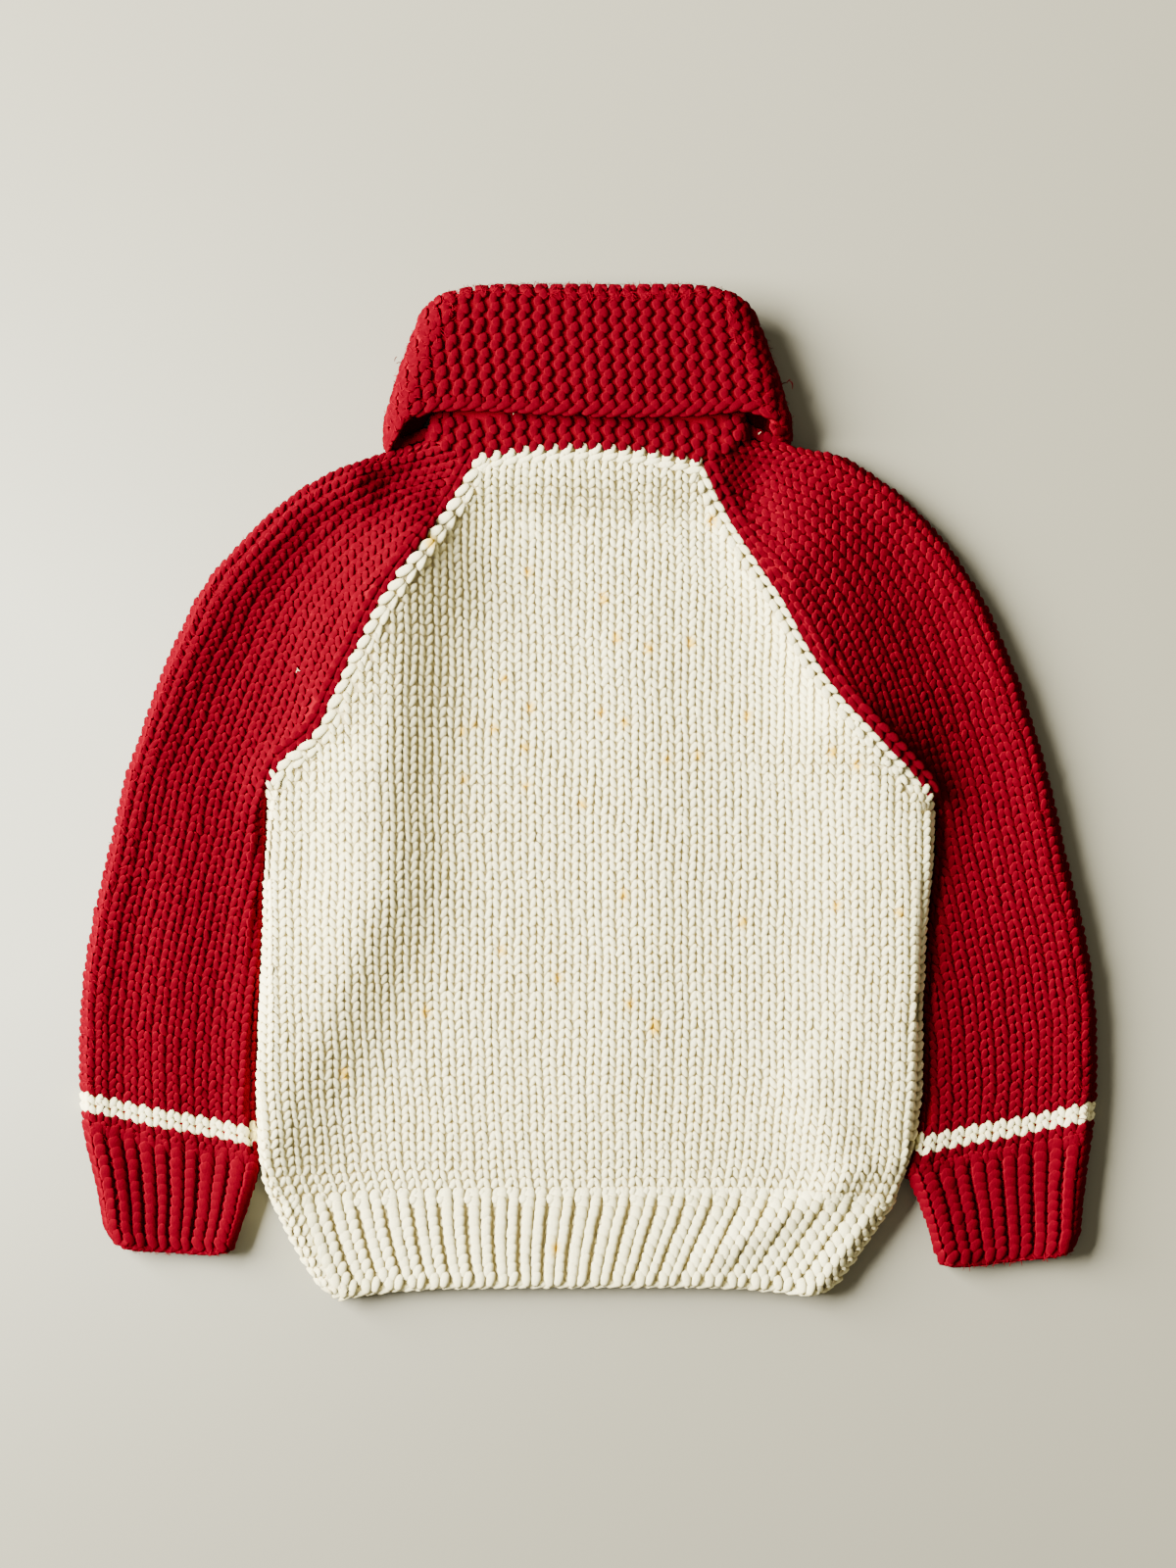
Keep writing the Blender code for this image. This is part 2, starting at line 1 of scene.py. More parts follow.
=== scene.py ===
"""Looks of the knitted sweater: thin knitted shells in place of the plain
walls, with every stitch, rib, garter bump and chain laid on them as yarn."""
import math
import bpy
import numpy as np
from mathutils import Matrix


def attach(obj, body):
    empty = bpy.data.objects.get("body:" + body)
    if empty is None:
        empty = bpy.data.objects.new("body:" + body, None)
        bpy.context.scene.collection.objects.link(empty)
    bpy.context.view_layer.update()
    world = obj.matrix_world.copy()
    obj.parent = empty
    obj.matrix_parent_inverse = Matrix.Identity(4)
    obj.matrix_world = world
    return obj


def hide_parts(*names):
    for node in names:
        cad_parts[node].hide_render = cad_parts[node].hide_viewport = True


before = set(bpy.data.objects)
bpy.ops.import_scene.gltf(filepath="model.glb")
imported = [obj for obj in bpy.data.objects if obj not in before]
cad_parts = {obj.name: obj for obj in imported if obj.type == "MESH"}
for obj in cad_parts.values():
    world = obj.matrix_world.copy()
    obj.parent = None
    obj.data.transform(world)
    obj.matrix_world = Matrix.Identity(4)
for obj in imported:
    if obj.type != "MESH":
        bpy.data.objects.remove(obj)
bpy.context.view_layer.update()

# ---- sizes, in mm
CLOTH, GAP, ROLL = 4.5, 0.34, 6.0
REST = 2 * CLOTH + GAP
SIDE_PUFF, SLEEVE_PUFF, PUFF_REACH = 2.6, 3.2, 12.0
SEAM_RISE, SEAM_REACH, NECK_RISE, RIB_RISE = 4.2, 13.0, 8.7, 1.3
COLLAR, COLLAR_MID, COLLAR_DROP = 5.7, 12.8, 6.1
WALE, ROW = 7.45, 4.75         # one stitch across and along
RIDGE, BUMP = 7.5, 3.9         # garter ridges, and the bumps along one
RIBS, CUFF_RIBS = 21, 6        # knit columns of the hem and of a cuff
FLAT, TURN = 90.8, 40.2        # half width of the flat collar and one side turn
HALF_NECK = 77.25              # of the back's upper edge under the collar
TOP_SINK, IN_SINK = 1.5, 4.2   # the shell's two faces below the yarn's tops
LEG_W, LEG_L, LEG_D = 4.0, 7.0, 3.7   # one leg of a knit stitch
STRIPE = 3                     # the stripe's first row of stitches
EDGE = 1.6                     # how far in the first wale runs from a rim

# ---- tables
# body and hem: left x, y, right x, y, y at the middle, share of a side fold
BODY = np.array([
    (-160.3, -211, 154.9, -210.5, -206, 1), (-165.5, -199, 160, -197, -194, 1),
    (-168, -180.5, 166, -180.5, -176.5, 1), (-169, -150.5, 170, -150.5, -148, 1),
    (-167.5, -110.5, 170, -110.5, -110, 1), (-166, -70.5, 172, -70.5, -70.5, 1),
    (-165, -40, 175, -40, -40, 1), (-164, -22, 176, -24, -23, 1),
    (-163, -7, 175.5, -12, -9.5, 0.6)])
HEM = np.array([
    (-128.5, -258, 117.5, -257, -252, 1), (-138, -251, 127, -250, -243, 1),
    (-146, -238.5, 136, -238, -231.5, 1), (-153.5, -224.5, 145.5, -224.5, -219, 1),
    (-160, -211.5, 154.5, -211, -206.5, 1)])
# raglan lines and outer folds of the sleeves: raglan x, y, fold x, y
RAGLAN_LEFT = np.array([
    (-162, 4.5, -235, 10.5), (-157, 16.5, -232, 18.5), (-149, 22.5, -229, 26.5),
    (-141, 29, -226, 35.5), (-134.5, 38.5, -222, 47.5), (-129.5, 50.5, -218, 58.5),
    (-124, 62.5, -213, 70.5), (-118, 74, -207, 83.5), (-111.5, 87.5, -200, 98.5),
    (-103.5, 101.5, -190, 113), (-94.5, 114.5, -178, 126), (-86, 126, -164, 140.5),
    (-78, 137, -148, 153.5), (-71, 148, -128, 164.5), (-64, 159, -104, 173), (-58, 170, -82, 179)])
RAGLAN_RIGHT = np.array([
    (173, -1.5, 235, 3.5), (168, 7, 233, 10.5), (160, 15.5, 231, 18), (152.5, 23, 229, 25.5),
    (145, 31, 226, 34.5), (137, 39.5, 223, 43.5), (129, 48.5, 220, 54.5), (121, 59.5, 215, 65.5),
    (114, 70.5, 210, 78.5), (107, 83, 204, 92), (100, 96.5, 196, 106), (91.5, 109.5, 186, 121.5),
    (82.5, 123, 173, 137.5), (74, 136.5, 156, 154), (66, 151, 130, 171), (58, 168, 85, 179.5)])
# sleeves below the underarm: y of the inner fold, outer fold x, y, share
ARM_LEFT = np.array([
    (-189.6, -257, -171.6, 1), (-178, -258.5, -157, 1), (-157, -259, -140, 1),
    (-130, -258.5, -115, 1), (-100, -256.5, -91, 1), (-70, -252, -64, 1), (-45, -246.5, -40, 1),
    (-22, -241, -17, 1), (-7, -238, -2, 0.6)])
ARM_RIGHT = np.array([
    (-195.1, 256, -176.6, 1), (-180, 257.5, -160, 1), (-157, 258.5, -139, 1), (-130, 258, -114, 1),
    (-100, 255.5, -89, 1), (-70, 250.5, -63, 1), (-45, 244.5, -39, 1), (-24, 240, -19, 1),
    (-12, 237.5, -8, 0.6)])
# cuffs from the lower edge up: inner x, y, outer x, y, sag between them
CUFF_LEFT = np.array([
    (-182, -233.5, -241.5, -230, -2.8), (-178.5, -226, -246.5, -220, -2),
    (-174.5, -214, -248.7, -207, -1), (-170.5, -202, -252.5, -189, 0),
    (-167, -190.1, -257, -172.1, 0)])
CUFF_RIGHT = np.array([
    (180.5, -241.5, 246.5, -234, -1.5), (176, -231, 250, -223.5, -1), (172.5, -219, 251.2, -210, 0),
    (168, -206.5, 253, -194, 0), (162.6, -195.6, 256, -177.1, 0)])
# soft folds: crest line, height at its two ends, reach on its left and right
BACK_FOLDS = [
    ((-92, 112, -101, 84, -105, 44, -109, 4, -108, -46, -127, -92, -148, -134,
      -160, -168), (17, 9.5), (28, 42)),
    ((108, 112, 121, 84, 131, 44), (12, 12), (38, 26)),
    ((149, 12, 150, -20, 148, -80, 146, -140, 140, -172), (8, 7), (30, 36)),
    ((114, -152, 124, -178, 128, -204), (3, 3), (15, 15)),
    ((140, -192, 105, -213, 66, -236), (2.4, 2.4), (8, 8)),
    ((20, 60, 34, -60, 10, -150), (1.4, 1.4), (26, 26))]
FOLDS = {-1: [
    ((-120, 155, -147, 141, -168, 117, -186, 91, -202, 55, -212, 20), (7.5, 1), (14, 14)),
    ((-133, 92, -141, 72), (1.6, 1.6), (7, 7)),
    ((-212, 0, -216, -90, -218, -150), (3, 3), (26, 26))], 1: [
    ((118, 157, 160, 124, 186, 92, 204, 60, 222, 0, 234, -90, 238, -150), (1.5, 1.5),
     (18, 18)),
    ((176, 8, 176, -44, 171, -66, 166, -150), (-3.5, -2.5), (20, 16))]}
# collar by height: y, half width of the fall, of the stand
COLLAR_WIDTH = np.array([
    (140, 104.4, 83.5), (176, 104, 83.5), (190, 103.6, 82.2), (202, 100, 81.2), (215, 96, 80),
    (230, 90.8, 78.6), (242, 85.6, 77.6), (252, 83, 76.7), (262, 82, 75.8)])
# collar round the loop: place along the half width, top of fold, fall's edge
COLLAR_TOP = np.array([
    (-1, 254, 190.5), (-0.86, 256.5, 194), (-0.7, 257.6, 194.5), (-0.5, 258, 194),
    (-0.25, 258, 192.5), (0, 258, 191.3), (0.3, 257.6, 191.3), (0.6, 258, 191.6),
    (0.75, 257.8, 193), (0.88, 256.8, 194), (1, 254.5, 192)])
# side turns: angle, top of the fold, edge of the fall left and right
COLLAR_TURN = np.array([
    (90, 254.5, 190.5, 192), (64, 253, 184.5, 181.5), (38, 249.5, 177.5, 179.3),
    (12, 247, 174.8, 178.8), (-14, 245.5, 174.8, 178.9), (-40, 245, 175.8, 179.3),
    (-65, 245, 177.6, 180.2), (-90, 245, 181, 181)])
# hidden front half: place, top of the fold, edge of the fall
COLLAR_UNDER = np.array([
    (1, 245, 179.5), (0.965, 244.6, 179.5), (0.93, 244.3, 184), (0.905, 244, 198.5),
    (0.82, 243, 198), (0.6, 241.5, 188), (0.3, 240.5, 186), (0, 240, 186)])
NECK_LOW = ((-83, -80, -76.4, -64, 0, 66, 79.5, 83),
            (180.4, 180.4, 178.2, 160.1, 150.6, 152.2, 178.3, 180.8))
# straw and dye specks caught in the cream yarn: x, y, length, depth of colour
SPECKS = np.array([
    (63.2, 138.5, 2.2, 0.6), (-30.8, 112.5, 2.2, 0.5), (7.8, 99, 2.6, 0.6), (14.2, 79, 2.4, 0.8),
    (52.2, 76.5, 2.2, 0.7), (30.8, 73.5, 2.4, 0.6), (-43.2, 58, 2, 0.5), (-29.8, 43, 2.2, 0.6),
    (6.2, 41, 2, 0.5), (-32.2, 23, 2.2, 0.5), (80.8, 39, 2.2, 0.5), (123.8, 20.5, 2.4, 0.6),
    (135.8, 14, 2.2, 0.6), (55.8, 19, 2, 0.5), (18.2, -52, 2.4, 0.6), (78.8, -66, 2.2, 0.5),
    (126.2, -57.5, 2.4, 0.6), (158.2, -61, 2.2, 0.5), (-44.2, -80.5, 2.2, 0.5),
    (-15.8, -94.5, 2.8, 0.4), (20.8, -108, 2.4, 0.6), (33.8, -119.5, 3.2, 1),
    (-82.8, -111.5, 2.4, 0.6), (-124.2, -143, 2.6, 0.7), (-79.8, 127, 2.6, 0.7),
    (-17, -232, 2.6, 0.7), (-64, 31.5, 2, 0.4), (18.5, 35.5, 2.4, 0.4), (-48, 32.5, 2, 0.4),
    (-58, 35, 2, 0.35), (40, 17.5, 2.4, 0.35), (-3, -6, 2, 0.5), (-63, 7, 2, 0.35),
    (-32, 3.5, 2, 0.35)])


# ---- surfaces
def smooth(t):
    """An even S from 0 to 1: three t squared less two t cubed."""
    t = np.clip(t, 0.0, 1.0)
    return t * t * (3.0 - 2.0 * t)


def pair(a, b):
    """Two inputs as arrays of numbers of one shape."""
    return np.broadcast_arrays(np.asarray(a, float), np.asarray(b, float))


def run_along(pts):
    """Length along a line of points, summed from chord to chord."""
    return np.concatenate([[0], np.cumsum(np.linalg.norm(np.diff(pts, axis=0), axis=-1))])


def unit(v):
    """Directions of length 1."""
    return v / np.maximum(1e-6, np.linalg.norm(v, axis=-1, keepdims=True))


def columns(key, table, at):
    """Every column of a table read between its rows at values of a key."""
    return [np.interp(at, key, table[:, c]) for c in range(table.shape[1])]


def fold_height(folds, x, y):
    """Sum of bells h exp(-(d/reach)^2) about each fold's crest line: d is the
    distance in plan from its nearest stretch, h runs evenly from the height
    at its first end to that at its last, and the reach passes softly from
    the one on the line's right to the one on its left."""
    total = np.zeros_like(x)
    for line, (first, last), (left, right) in folds:
        pts = np.array(line, dtype=float).reshape(-1, 2)
        near, high, reach = np.full_like(x, 1e9), 0 * x, 0 * x + 1
        for i, ((ax, ay), (bx, by)) in enumerate(zip(pts[:-1], pts[1:])):
            dx, dy = bx - ax, by - ay
            t = np.clip(((x - ax) * dx + (y - ay) * dy) / (dx * dx + dy * dy), 0, 1)
            d = np.hypot(ax + dx * t - x, ay + dy * t - y)
            off = (dx * (y - ay) - dy * (x - ax)) / math.hypot(dx, dy)
            closer = d < near
            near = np.where(closer, d, near)
            high = np.where(closer, first + (last - first) * (i + t) / (len(pts) - 1), high)
            reach = np.where(closer, right + (left - right) * (0.5 + 0.5 * np.tanh(off / 6)), reach)
        total = total + high * np.exp(-(near / reach) ** 2)
    return total


def neck_lift(x, y):
    """The upper cloth rises over the collar's front that lies under it."""
    return (NECK_RISE * smooth((y - 136.0) / 28.0) * (1.0 - smooth((np.abs(x) - 60.0) / 30.0)))


def seam_ridge(d, y):
    """A bell across the raglan seam that fades towards the neck."""
    return SEAM_RISE * np.exp(-(d / SEAM_REACH) ** 2) * (1 - smooth((y - 130.0) / 34.0))


def raglan_rows(low):
    """Rows of the body between the raglans, the front's ending lower."""
    n = len(RAGLAN_LEFT)
    row = np.arange(n)
    at = row * ((n - 2) / (n - 1) if low else 1.0)
    left, right = columns(row, RAGLAN_LEFT, at), columns(row, RAGLAN_RIGHT, at)
    arch = (-5.0 if low else 6.6) * smooth((row - n * 0.5) / (n * 0.5 - 1))
    return np.stack([left[0] + 0.3, left[1], right[0] - 0.3, right[1],
                     (left[1] + right[1]) / 2 + arch, np.zeros(n)], 1)


BACK_ROWS = np.vstack([BODY, raglan_rows(False)])
FRONT_ROWS = np.vstack([BODY, raglan_rows(True)])


def extra(h):
    """How much longer the quarter round of a fold under cloth h high is than
    the flat stretch it takes up."""
    return math.pi / 4 * (ROLL + h / 2) - ROLL


def side_fold(d, k, h, sink, low):
    """Distance in plan from a side fold's edge, and height, d mm round from
    its start under cloth h high: a quarter of an ellipse down to half the
    gap, turned to the floor where low, and flat where its share k is 0."""
    f = np.clip(d / (ROLL + k * extra(h)), 0, 1)
    ang = f * math.pi / 2
    x = ROLL - (ROLL - sink) * np.sin(ang)
    z = h / 2 + (h / 2 - sink) * np.cos(ang) + GAP / 2 * f
    z = k * np.where(low, h - z, z) + (1 - k) * np.where(low, sink, h - sink)
    return k * x + (1 - k) * (ROLL * (1 - f)), z


def panel(rows, under):
    """The body's cloth as a function of a (mm across, unrolled over the side
    folds), q (the row's middle y) and sink (mm below the outer face).  Between
    the folds the height is the resting height plus puffs, folds and ridges;
    round a fold it is a quarter of an ellipse.  under turns it to the floor."""
    key = rows[:, 4]

    def surface(a, q, sink=0.0, probe=False):
        a, q = pair(a, q)
        lx, ly, rx, ry, cy, k = columns(key, rows, q)
        cy = cy + (q - np.clip(q, key[0], key[-1]))
        power = np.where(q < -165.0, 4.0, 2.0)

        def row_y(x):
            t = (x - lx) / (rx - lx)
            return ly + (ry - ly) * t + (cy - (ly + ry) / 2) * (1 - np.abs(2 * t - 1) ** power)

        def top(x):
            y = row_y(x)
            h = REST + fold_height(BACK_FOLDS, x, y) + neck_lift(x, y)
            for d in (x - lx, rx - x):
                h = h + k * SIDE_PUFF * np.exp(-(np.maximum(0, d - ROLL) / PUFF_REACH) ** 2)
                h = h + (1 - k) * seam_ridge(d, y)
            return h
        x, z = a, top(np.clip(a, lx + ROLL, rx - ROLL)) - sink
        if probe:
            return z
        if under:
            z = 0 * a + sink
        for edge, sgn in ((lx, 1.0), (rx, -1.0)):
            d = ROLL - sgn * (a - edge)
            xf, zf = side_fold(d, k, top(edge + sgn * ROLL), sink, under)
            x, z = np.where(d > 0, edge + sgn * xf, x), np.where(d > 0, zf, z)
        return np.stack([x, row_y(x), z], -1)

    def limits(q):
        """Where the cloth ends on each side, unrolled over the folds."""
        lx, _, rx, _, _, k = columns(key, rows, q)
        return [edge - sgn * k * extra(surface(edge + sgn * ROLL, q, probe=True))
                for edge, sgn in ((lx, 1.0), (rx, -1.0))]
    return surface, limits


def sleeve_table(side):
    """Stations of a sleeve from cuff to neck: inner point above x, y, inner
    point below x, y, outer fold x, y, share of the inner fold, sag."""
    arm, rag = (ARM_LEFT, RAGLAN_LEFT) if side < 0 else (ARM_RIGHT, RAGLAN_RIGHT)
    ends = np.vstack([BODY, raglan_rows(False)[:1] - (0.3, 0, -0.3, 0, 0, 0)])
    c = 0 if side < 0 else 2
    x = np.interp(arm[:, 0], ends[:, c + 1], ends[:, c]) + side * 0.8
    low = np.column_stack([x, arm[:, 0], x, arm, 0 * x])
    n = len(rag)
    under = columns(np.arange(n), rag, np.arange(n) * (n - 2) / (n - 1))
    up = np.column_stack([rag[:, 0] + side * 0.3, rag[:, 1], under[0] + side * 0.3, under[1],
                          rag[:, 2:], np.zeros((n, 2))])
    return np.vstack([low, up])


def cuff_table(cuff):
    """Stations of a cuff in the same columns as a sleeve's."""
    return np.column_stack([cuff[:, :2], cuff[:, :4], np.ones(len(cuff)), cuff[:, 4]])


def tube(rows, folds):
    """A sleeve's or cuff's cloth as a function of b (mm from the outer fold,
    over the top where positive and along the floor where negative), s (mm
    along the middle) and sink.  The outer fold is half an ellipse, the inner
    one two quarters where the share of a side fold is 1."""
    mid = (rows[:, 0:2] + rows[:, 4:6]) / 2
    key = run_along(mid)

    def surface(b, s, sink=0.0, ends=False):
        b, s = pair(b, s)
        ix, iy, jx, jy, ox, oy, k, sag = columns(key, rows, s)
        over = s - np.clip(s, key[0], key[-1])
        wide = np.hypot(ox - ix, oy - iy)
        ux, uy = (ox - ix) / wide, (oy - iy) / wide

        def plan(t):
            return ix + ux * t, iy + uy * t + sag * (1 - np.abs(2 * t / wide - 1) ** 4)

        def top(t):
            x, y = plan(t)
            h = REST + fold_height(folds, x, y) + neck_lift(x, y)
            h = h + (1 - k) * fold_height(BACK_FOLDS, x, y)
            h = h + SLEEVE_PUFF * np.exp(-(np.maximum(0, wide - ROLL - t) / PUFF_REACH) ** 2)
            h = h + k * SIDE_PUFF * 0.7 * np.exp(-(np.maximum(0, t - ROLL) / PUFF_REACH) ** 2)
            return h + (1 - k) * seam_ridge(t, y)
        ho, hi = top(wide - ROLL), top(0 * wide + ROLL)
        arc = math.pi / 2 * (ROLL + ho / 2)
        if ends:
            return wide - ROLL + arc / 2 + k * extra(hi)
        ang = math.pi / 2 * (1 - np.clip(2 * b / arc, -1, 1))
        t = np.where(np.abs(b) < arc / 2, wide - ROLL + (ROLL - sink) * np.sin(ang),
                     wide - ROLL - (np.abs(b) - arc / 2))
        z = np.where(np.abs(b) < arc / 2, ho / 2 + (ho / 2 - sink) * np.cos(ang),
                     np.where(b > 0, top(np.maximum(t, ROLL)) - sink, sink))
        d = ROLL - t
        tf, zf = side_fold(d, k, hi, sink, b <= 0)
        t, z = np.where(d > 0, tf, t), np.where(d > 0, zf, z)
        px, py = plan(t)
        g = np.clip(t / (wide - ROLL), 0, 1)
        low = (b < -arc / 2) * (1 - g)
        return np.stack([px + (jx - ix) * low, py + (jy - iy) * low + over, z], -1)

    def limits(s):
        """Where the cloth ends on either side of the outer fold, unrolled."""
        return surface(0 * s, s, ends=True)
    return surface, limits, key


def neck_arc(x):
    """The back's upper edge at x: a parabola on the line between its ends."""
    lx, ly, rx, ry, cy, _ = BACK_ROWS[-1]
    t = (x - lx) / (rx - lx)
    return ly + (ry - ly) * t + (cy - (ly + ry) / 2) * (1 - (2 * t - 1) ** 2)


def round_neck(c, back, turn, front):
    """One of three by place: the back half, a side turn, the front half."""
    return np.where(c <= FLAT, back, np.where(c < FLAT + TURN, turn, front))


def collar_station(c, side):
    """The collar at c mm round from the centre back: place along the flat
    half, angle of the turn, top of the fold, edge of the fall, neck seam and
    how far the front half has sunk."""
    place = np.where(c < FLAT, c / FLAT, np.clip(1 - (c - FLAT - TURN) / FLAT, 0, 1))
    angle = 90.0 - 180.0 * np.clip((c - FLAT) / TURN, 0, 1)
    signed = side * np.clip(c / FLAT, 0, 1)
    t, u, w = COLLAR_TURN[::-1], COLLAR_UNDER[::-1], COLLAR_TOP
    fold, edge = (round_neck(c, np.interp(signed, w[:, 0], w[:, k]),
                             np.interp(angle, t[:, 0], t[:, k + (k == 2 and side > 0)]),
                             np.interp(place, u[:, 0], u[:, k])) for k in (1, 2))
    (lx, ly, rx, ry), (fx, fy), (gx, gy) = BACK_ROWS[-1, :4], RAGLAN_LEFT[-1, 2:], RAGLAN_RIGHT[-1, 2:]
    x = signed * HALF_NECK
    top = np.where(x < lx, ly + (x - lx) * (fy - ly) / (fx - lx), np.where(
        x > rx, ry + (x - rx) * (gy - ry) / (gx - rx), neck_arc(x))) + 0.45
    low = np.interp(side * place * HALF_NECK, *NECK_LOW)
    seam = round_neck(c, top, 180.4 + 0.4 * (side > 0), low)
    drop = round_neck(c, 0.0, (1 - np.sin(np.radians(angle))) / 2, 1.0)
    return place, angle, fold, edge, seam, drop


def collar_point(station, side, y, r, wide, sunk=0.0):
    """A point of the flattened collar: x is the half width less r, turned by
    the angle at the sides, and z the middle height plus r times its sine.
    The stand's front half sinks to the floor at the neck seam."""
    place, angle, _, _, seam, drop = station
    a = np.radians(angle)
    zm = COLLAR_MID - COLLAR_DROP * sunk * drop * smooth(1 - (y - seam) / 16.0)
    x = np.where(np.abs(angle) > 89.99, place * (wide - r), wide - r + r * np.cos(a))
    return np.stack([-0.3 + side * x, y + 0 * x, zm + r * np.sin(a)], -1)


def fall_width(y):
    return np.interp(y, COLLAR_WIDTH[:, 0], COLLAR_WIDTH[:, 1])


def stand_width(y):
    return np.interp(y, COLLAR_WIDTH[:, 0], COLLAR_WIDTH[:, 2])


NEAR, FAR = 0.6, COLLAR_MID - 0.02
HALF = (FAR - NEAR) / 2


def fall(side):
    """The fall's outer face and the fold: c round the neck, w mm up from the
    edge of the fall, then round the fold's half circle, then down inside."""
    def surface(c, w, sink=0.0):
        c, w = pair(c, w)
        st = collar_station(c, side)
        y_turn = st[2] - HALF
        run = y_turn - st[3]
        beta = np.clip((w - run) / HALF, 0, math.pi)
        more = np.maximum(0, w - run - math.pi * HALF)
        y = np.where(w < run, st[3] + w, y_turn + (HALF - sink) * np.sin(beta) - more)
        r = NEAR + HALF + (HALF - sink) * np.cos(beta)
        wide = np.where(w < run, fall_width(y), fall_width(y_turn)) - (FAR - r)
        wide = np.where(beta >= math.pi, stand_width(y) - COLLAR + sink, wide)
        return collar_point(st, side, y, r, wide)
    return surface


def stand(side):
    """The stand's outer face: c round the neck, w mm up from the neck seam."""
    def surface(c, w, sink=0.0):
        c, w = pair(c, w)
        st = collar_station(c, side)
        y = st[4] + w
        return collar_point(st, side, y, NEAR + COLLAR - sink, stand_width(y) - sink, 1.0)
    return surface


# ---- mesh makers
def add_object(name, data):
    """An object of this data, linked to the scene."""
    obj = bpy.data.objects.new(name, data)
    bpy.context.scene.collection.objects.link(obj)
    return obj


def put_mesh(name, v, faces, mat, tone=None, stain=None, low=None, out=None):
    """One mesh from arrays: v in mm, faces as rows of equal length, out the
    cloth's own outward direction under each strand."""
    me = bpy.data.meshes.new(name)
    v = np.ascontiguousarray(v.reshape(-1, 3) * 0.001, dtype=np.float32)
    faces = np.ascontiguousarray(faces, dtype=np.int32)
    me.vertices.add(len(v))
    me.vertices.foreach_set("co", v.ravel())
    me.loops.add(faces.size)
    me.loops.foreach_set("vertex_index", faces.ravel())
    me.polygons.add(len(faces))
    me.polygons.foreach_set("loop_start", np.arange(0, faces.size, faces.shape[1], dtype=np.int32))
    me.update(calc_edges=True)
    me.validate()
    me.polygons.foreach_set("use_smooth", np.ones(len(me.polygons), dtype=bool))
    me.materials.append(mat)
    for key, val in (("tone", tone), ("stain", stain), ("low", low), ("out", out)):
        kind, slot, size = (("FLOAT_VECTOR", "vector", 3 * len(v)) if key == "out"
                            else ("FLOAT", "value", len(v)))
        at = me.attributes.new(key, kind, "POINT")
        at.data.foreach_set(slot, (np.zeros(size) if val is None else val.ravel()).astype(np.float32))
    obj = add_object(name, me)
    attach(obj, "root")
    return obj


def shell(name, outer, inner, mat):
    """A closed thin shell between two grids of points: both faces as quads,
    joined by a strip round all four edges."""
    n, m = outer.shape[:2]
    i = np.arange(n * m).reshape(n, m)
    a = np.stack([i[:-1, :-1], i[1:, :-1], i[1:, 1:], i[:-1, 1:]], -1).reshape(-1, 4)
    rim = np.concatenate([i[0, :-1], i[:-1, -1], i[-1, :0:-1], i[:0:-1, 0]])
    nxt = np.roll(rim, -1)
    side = np.stack([rim, nxt, nxt + n * m, rim + n * m], -1)
    f = np.vstack([a, a[:, ::-1] + n * m, side])
    v = np.vstack([outer.reshape(-1, 3), inner.reshape(-1, 3)])
    p, q, r, s = (v[f[:, k]] for k in range(4))
    if (np.cross(p, q) * r).sum() + (np.cross(p, r) * s).sum() < 0:
        f = f[:, ::-1]
    return put_mesh(name, v, f, mat)


def spindle(sides, rings):
    """A plump strand of unit half length: its radius at t along it is
    (1 - |t|^2.6)^0.5, with a point at each end.  Its section is a rounded
    square, most of whose corners lie on top.  x across, y along, z out."""
    t = np.sin(np.linspace(-math.pi / 2, math.pi / 2, rings + 2)[1:-1]) * 0.98
    r = (1 - np.abs(t) ** 2.6) ** 0.5
    ang = np.radians(np.concatenate([[-90.0], np.linspace(-12.0, 192.0, sides - 1)]))
    cx, cz = np.cos(ang), np.sin(ang)
    cx, cz = np.sign(cx) * np.abs(cx) ** 0.8, np.sign(cz) * np.abs(cz) ** 0.8
    ring = np.stack([r[:, None] * cx, np.repeat(t[:, None], sides, 1),
                     r[:, None] * cz], -1).reshape(-1, 3)
    v = np.vstack([ring, [(0, -1, 0), (0, 1, 0)]])
    j = np.arange(sides)
    k = (j + 1) % sides
    f = [np.stack([0 * j + sides * rings, j, k], 1),
         np.stack([0 * j + sides * rings + 1, k + sides * (rings - 1), j + sides * (rings - 1)], 1)]
    for g in range(rings - 1):
        o = g * sides
        f.append(np.stack([o + j, o + sides + j, o + k], 1))
        f.append(np.stack([o + k, o + sides + j, o + sides + k], 1))
    f = np.vstack(f)
    p, q, s = v[f[:, 0]], v[f[:, 1]], v[f[:, 2]]
    if (np.cross(p, q) * s).sum() < 0:
        f = f[:, ::-1]
    return v, f


def lay(surface, a, b, out=1.0, sink=0.0, rim=False):
    """Points of a surface with their across, along and outward directions,
    by differences of half a millimetre.  The along direction is kept and the
    across one squared to it, or for a rim the other way round."""
    p = surface(a, b, sink)
    u = out * (surface(a + 0.5, b, sink) - surface(a - 0.5, b, sink))
    v = surface(a, b + 0.5, sink) - surface(a, b - 0.5, sink)
    if rim:
        u, v = v, u
    v = unit(v)
    u = unit(u - v * (u * v).sum(-1, keepdims=True))
    if rim:
        u, v = v, u
    return p, u, v, np.cross(u, v)


def even_rows(surface, wales, length, first=-2.6):
    """Places of stitches a row apart in true length along each wale: its
    length is summed from short chords and read back at even marks."""
    s = np.linspace(0.0, length, 260)
    a, b, row = [], [], []
    for w in wales:
        p = surface(np.full(len(s), w), s)
        run = run_along(p)
        marks = np.arange(first, run[-1], ROW)
        a.append(np.full(len(marks), w))
        b.append(np.interp(marks, run, s))
        row.append(np.arange(len(marks)))
    return np.concatenate(a), np.concatenate(b), np.concatenate(row)


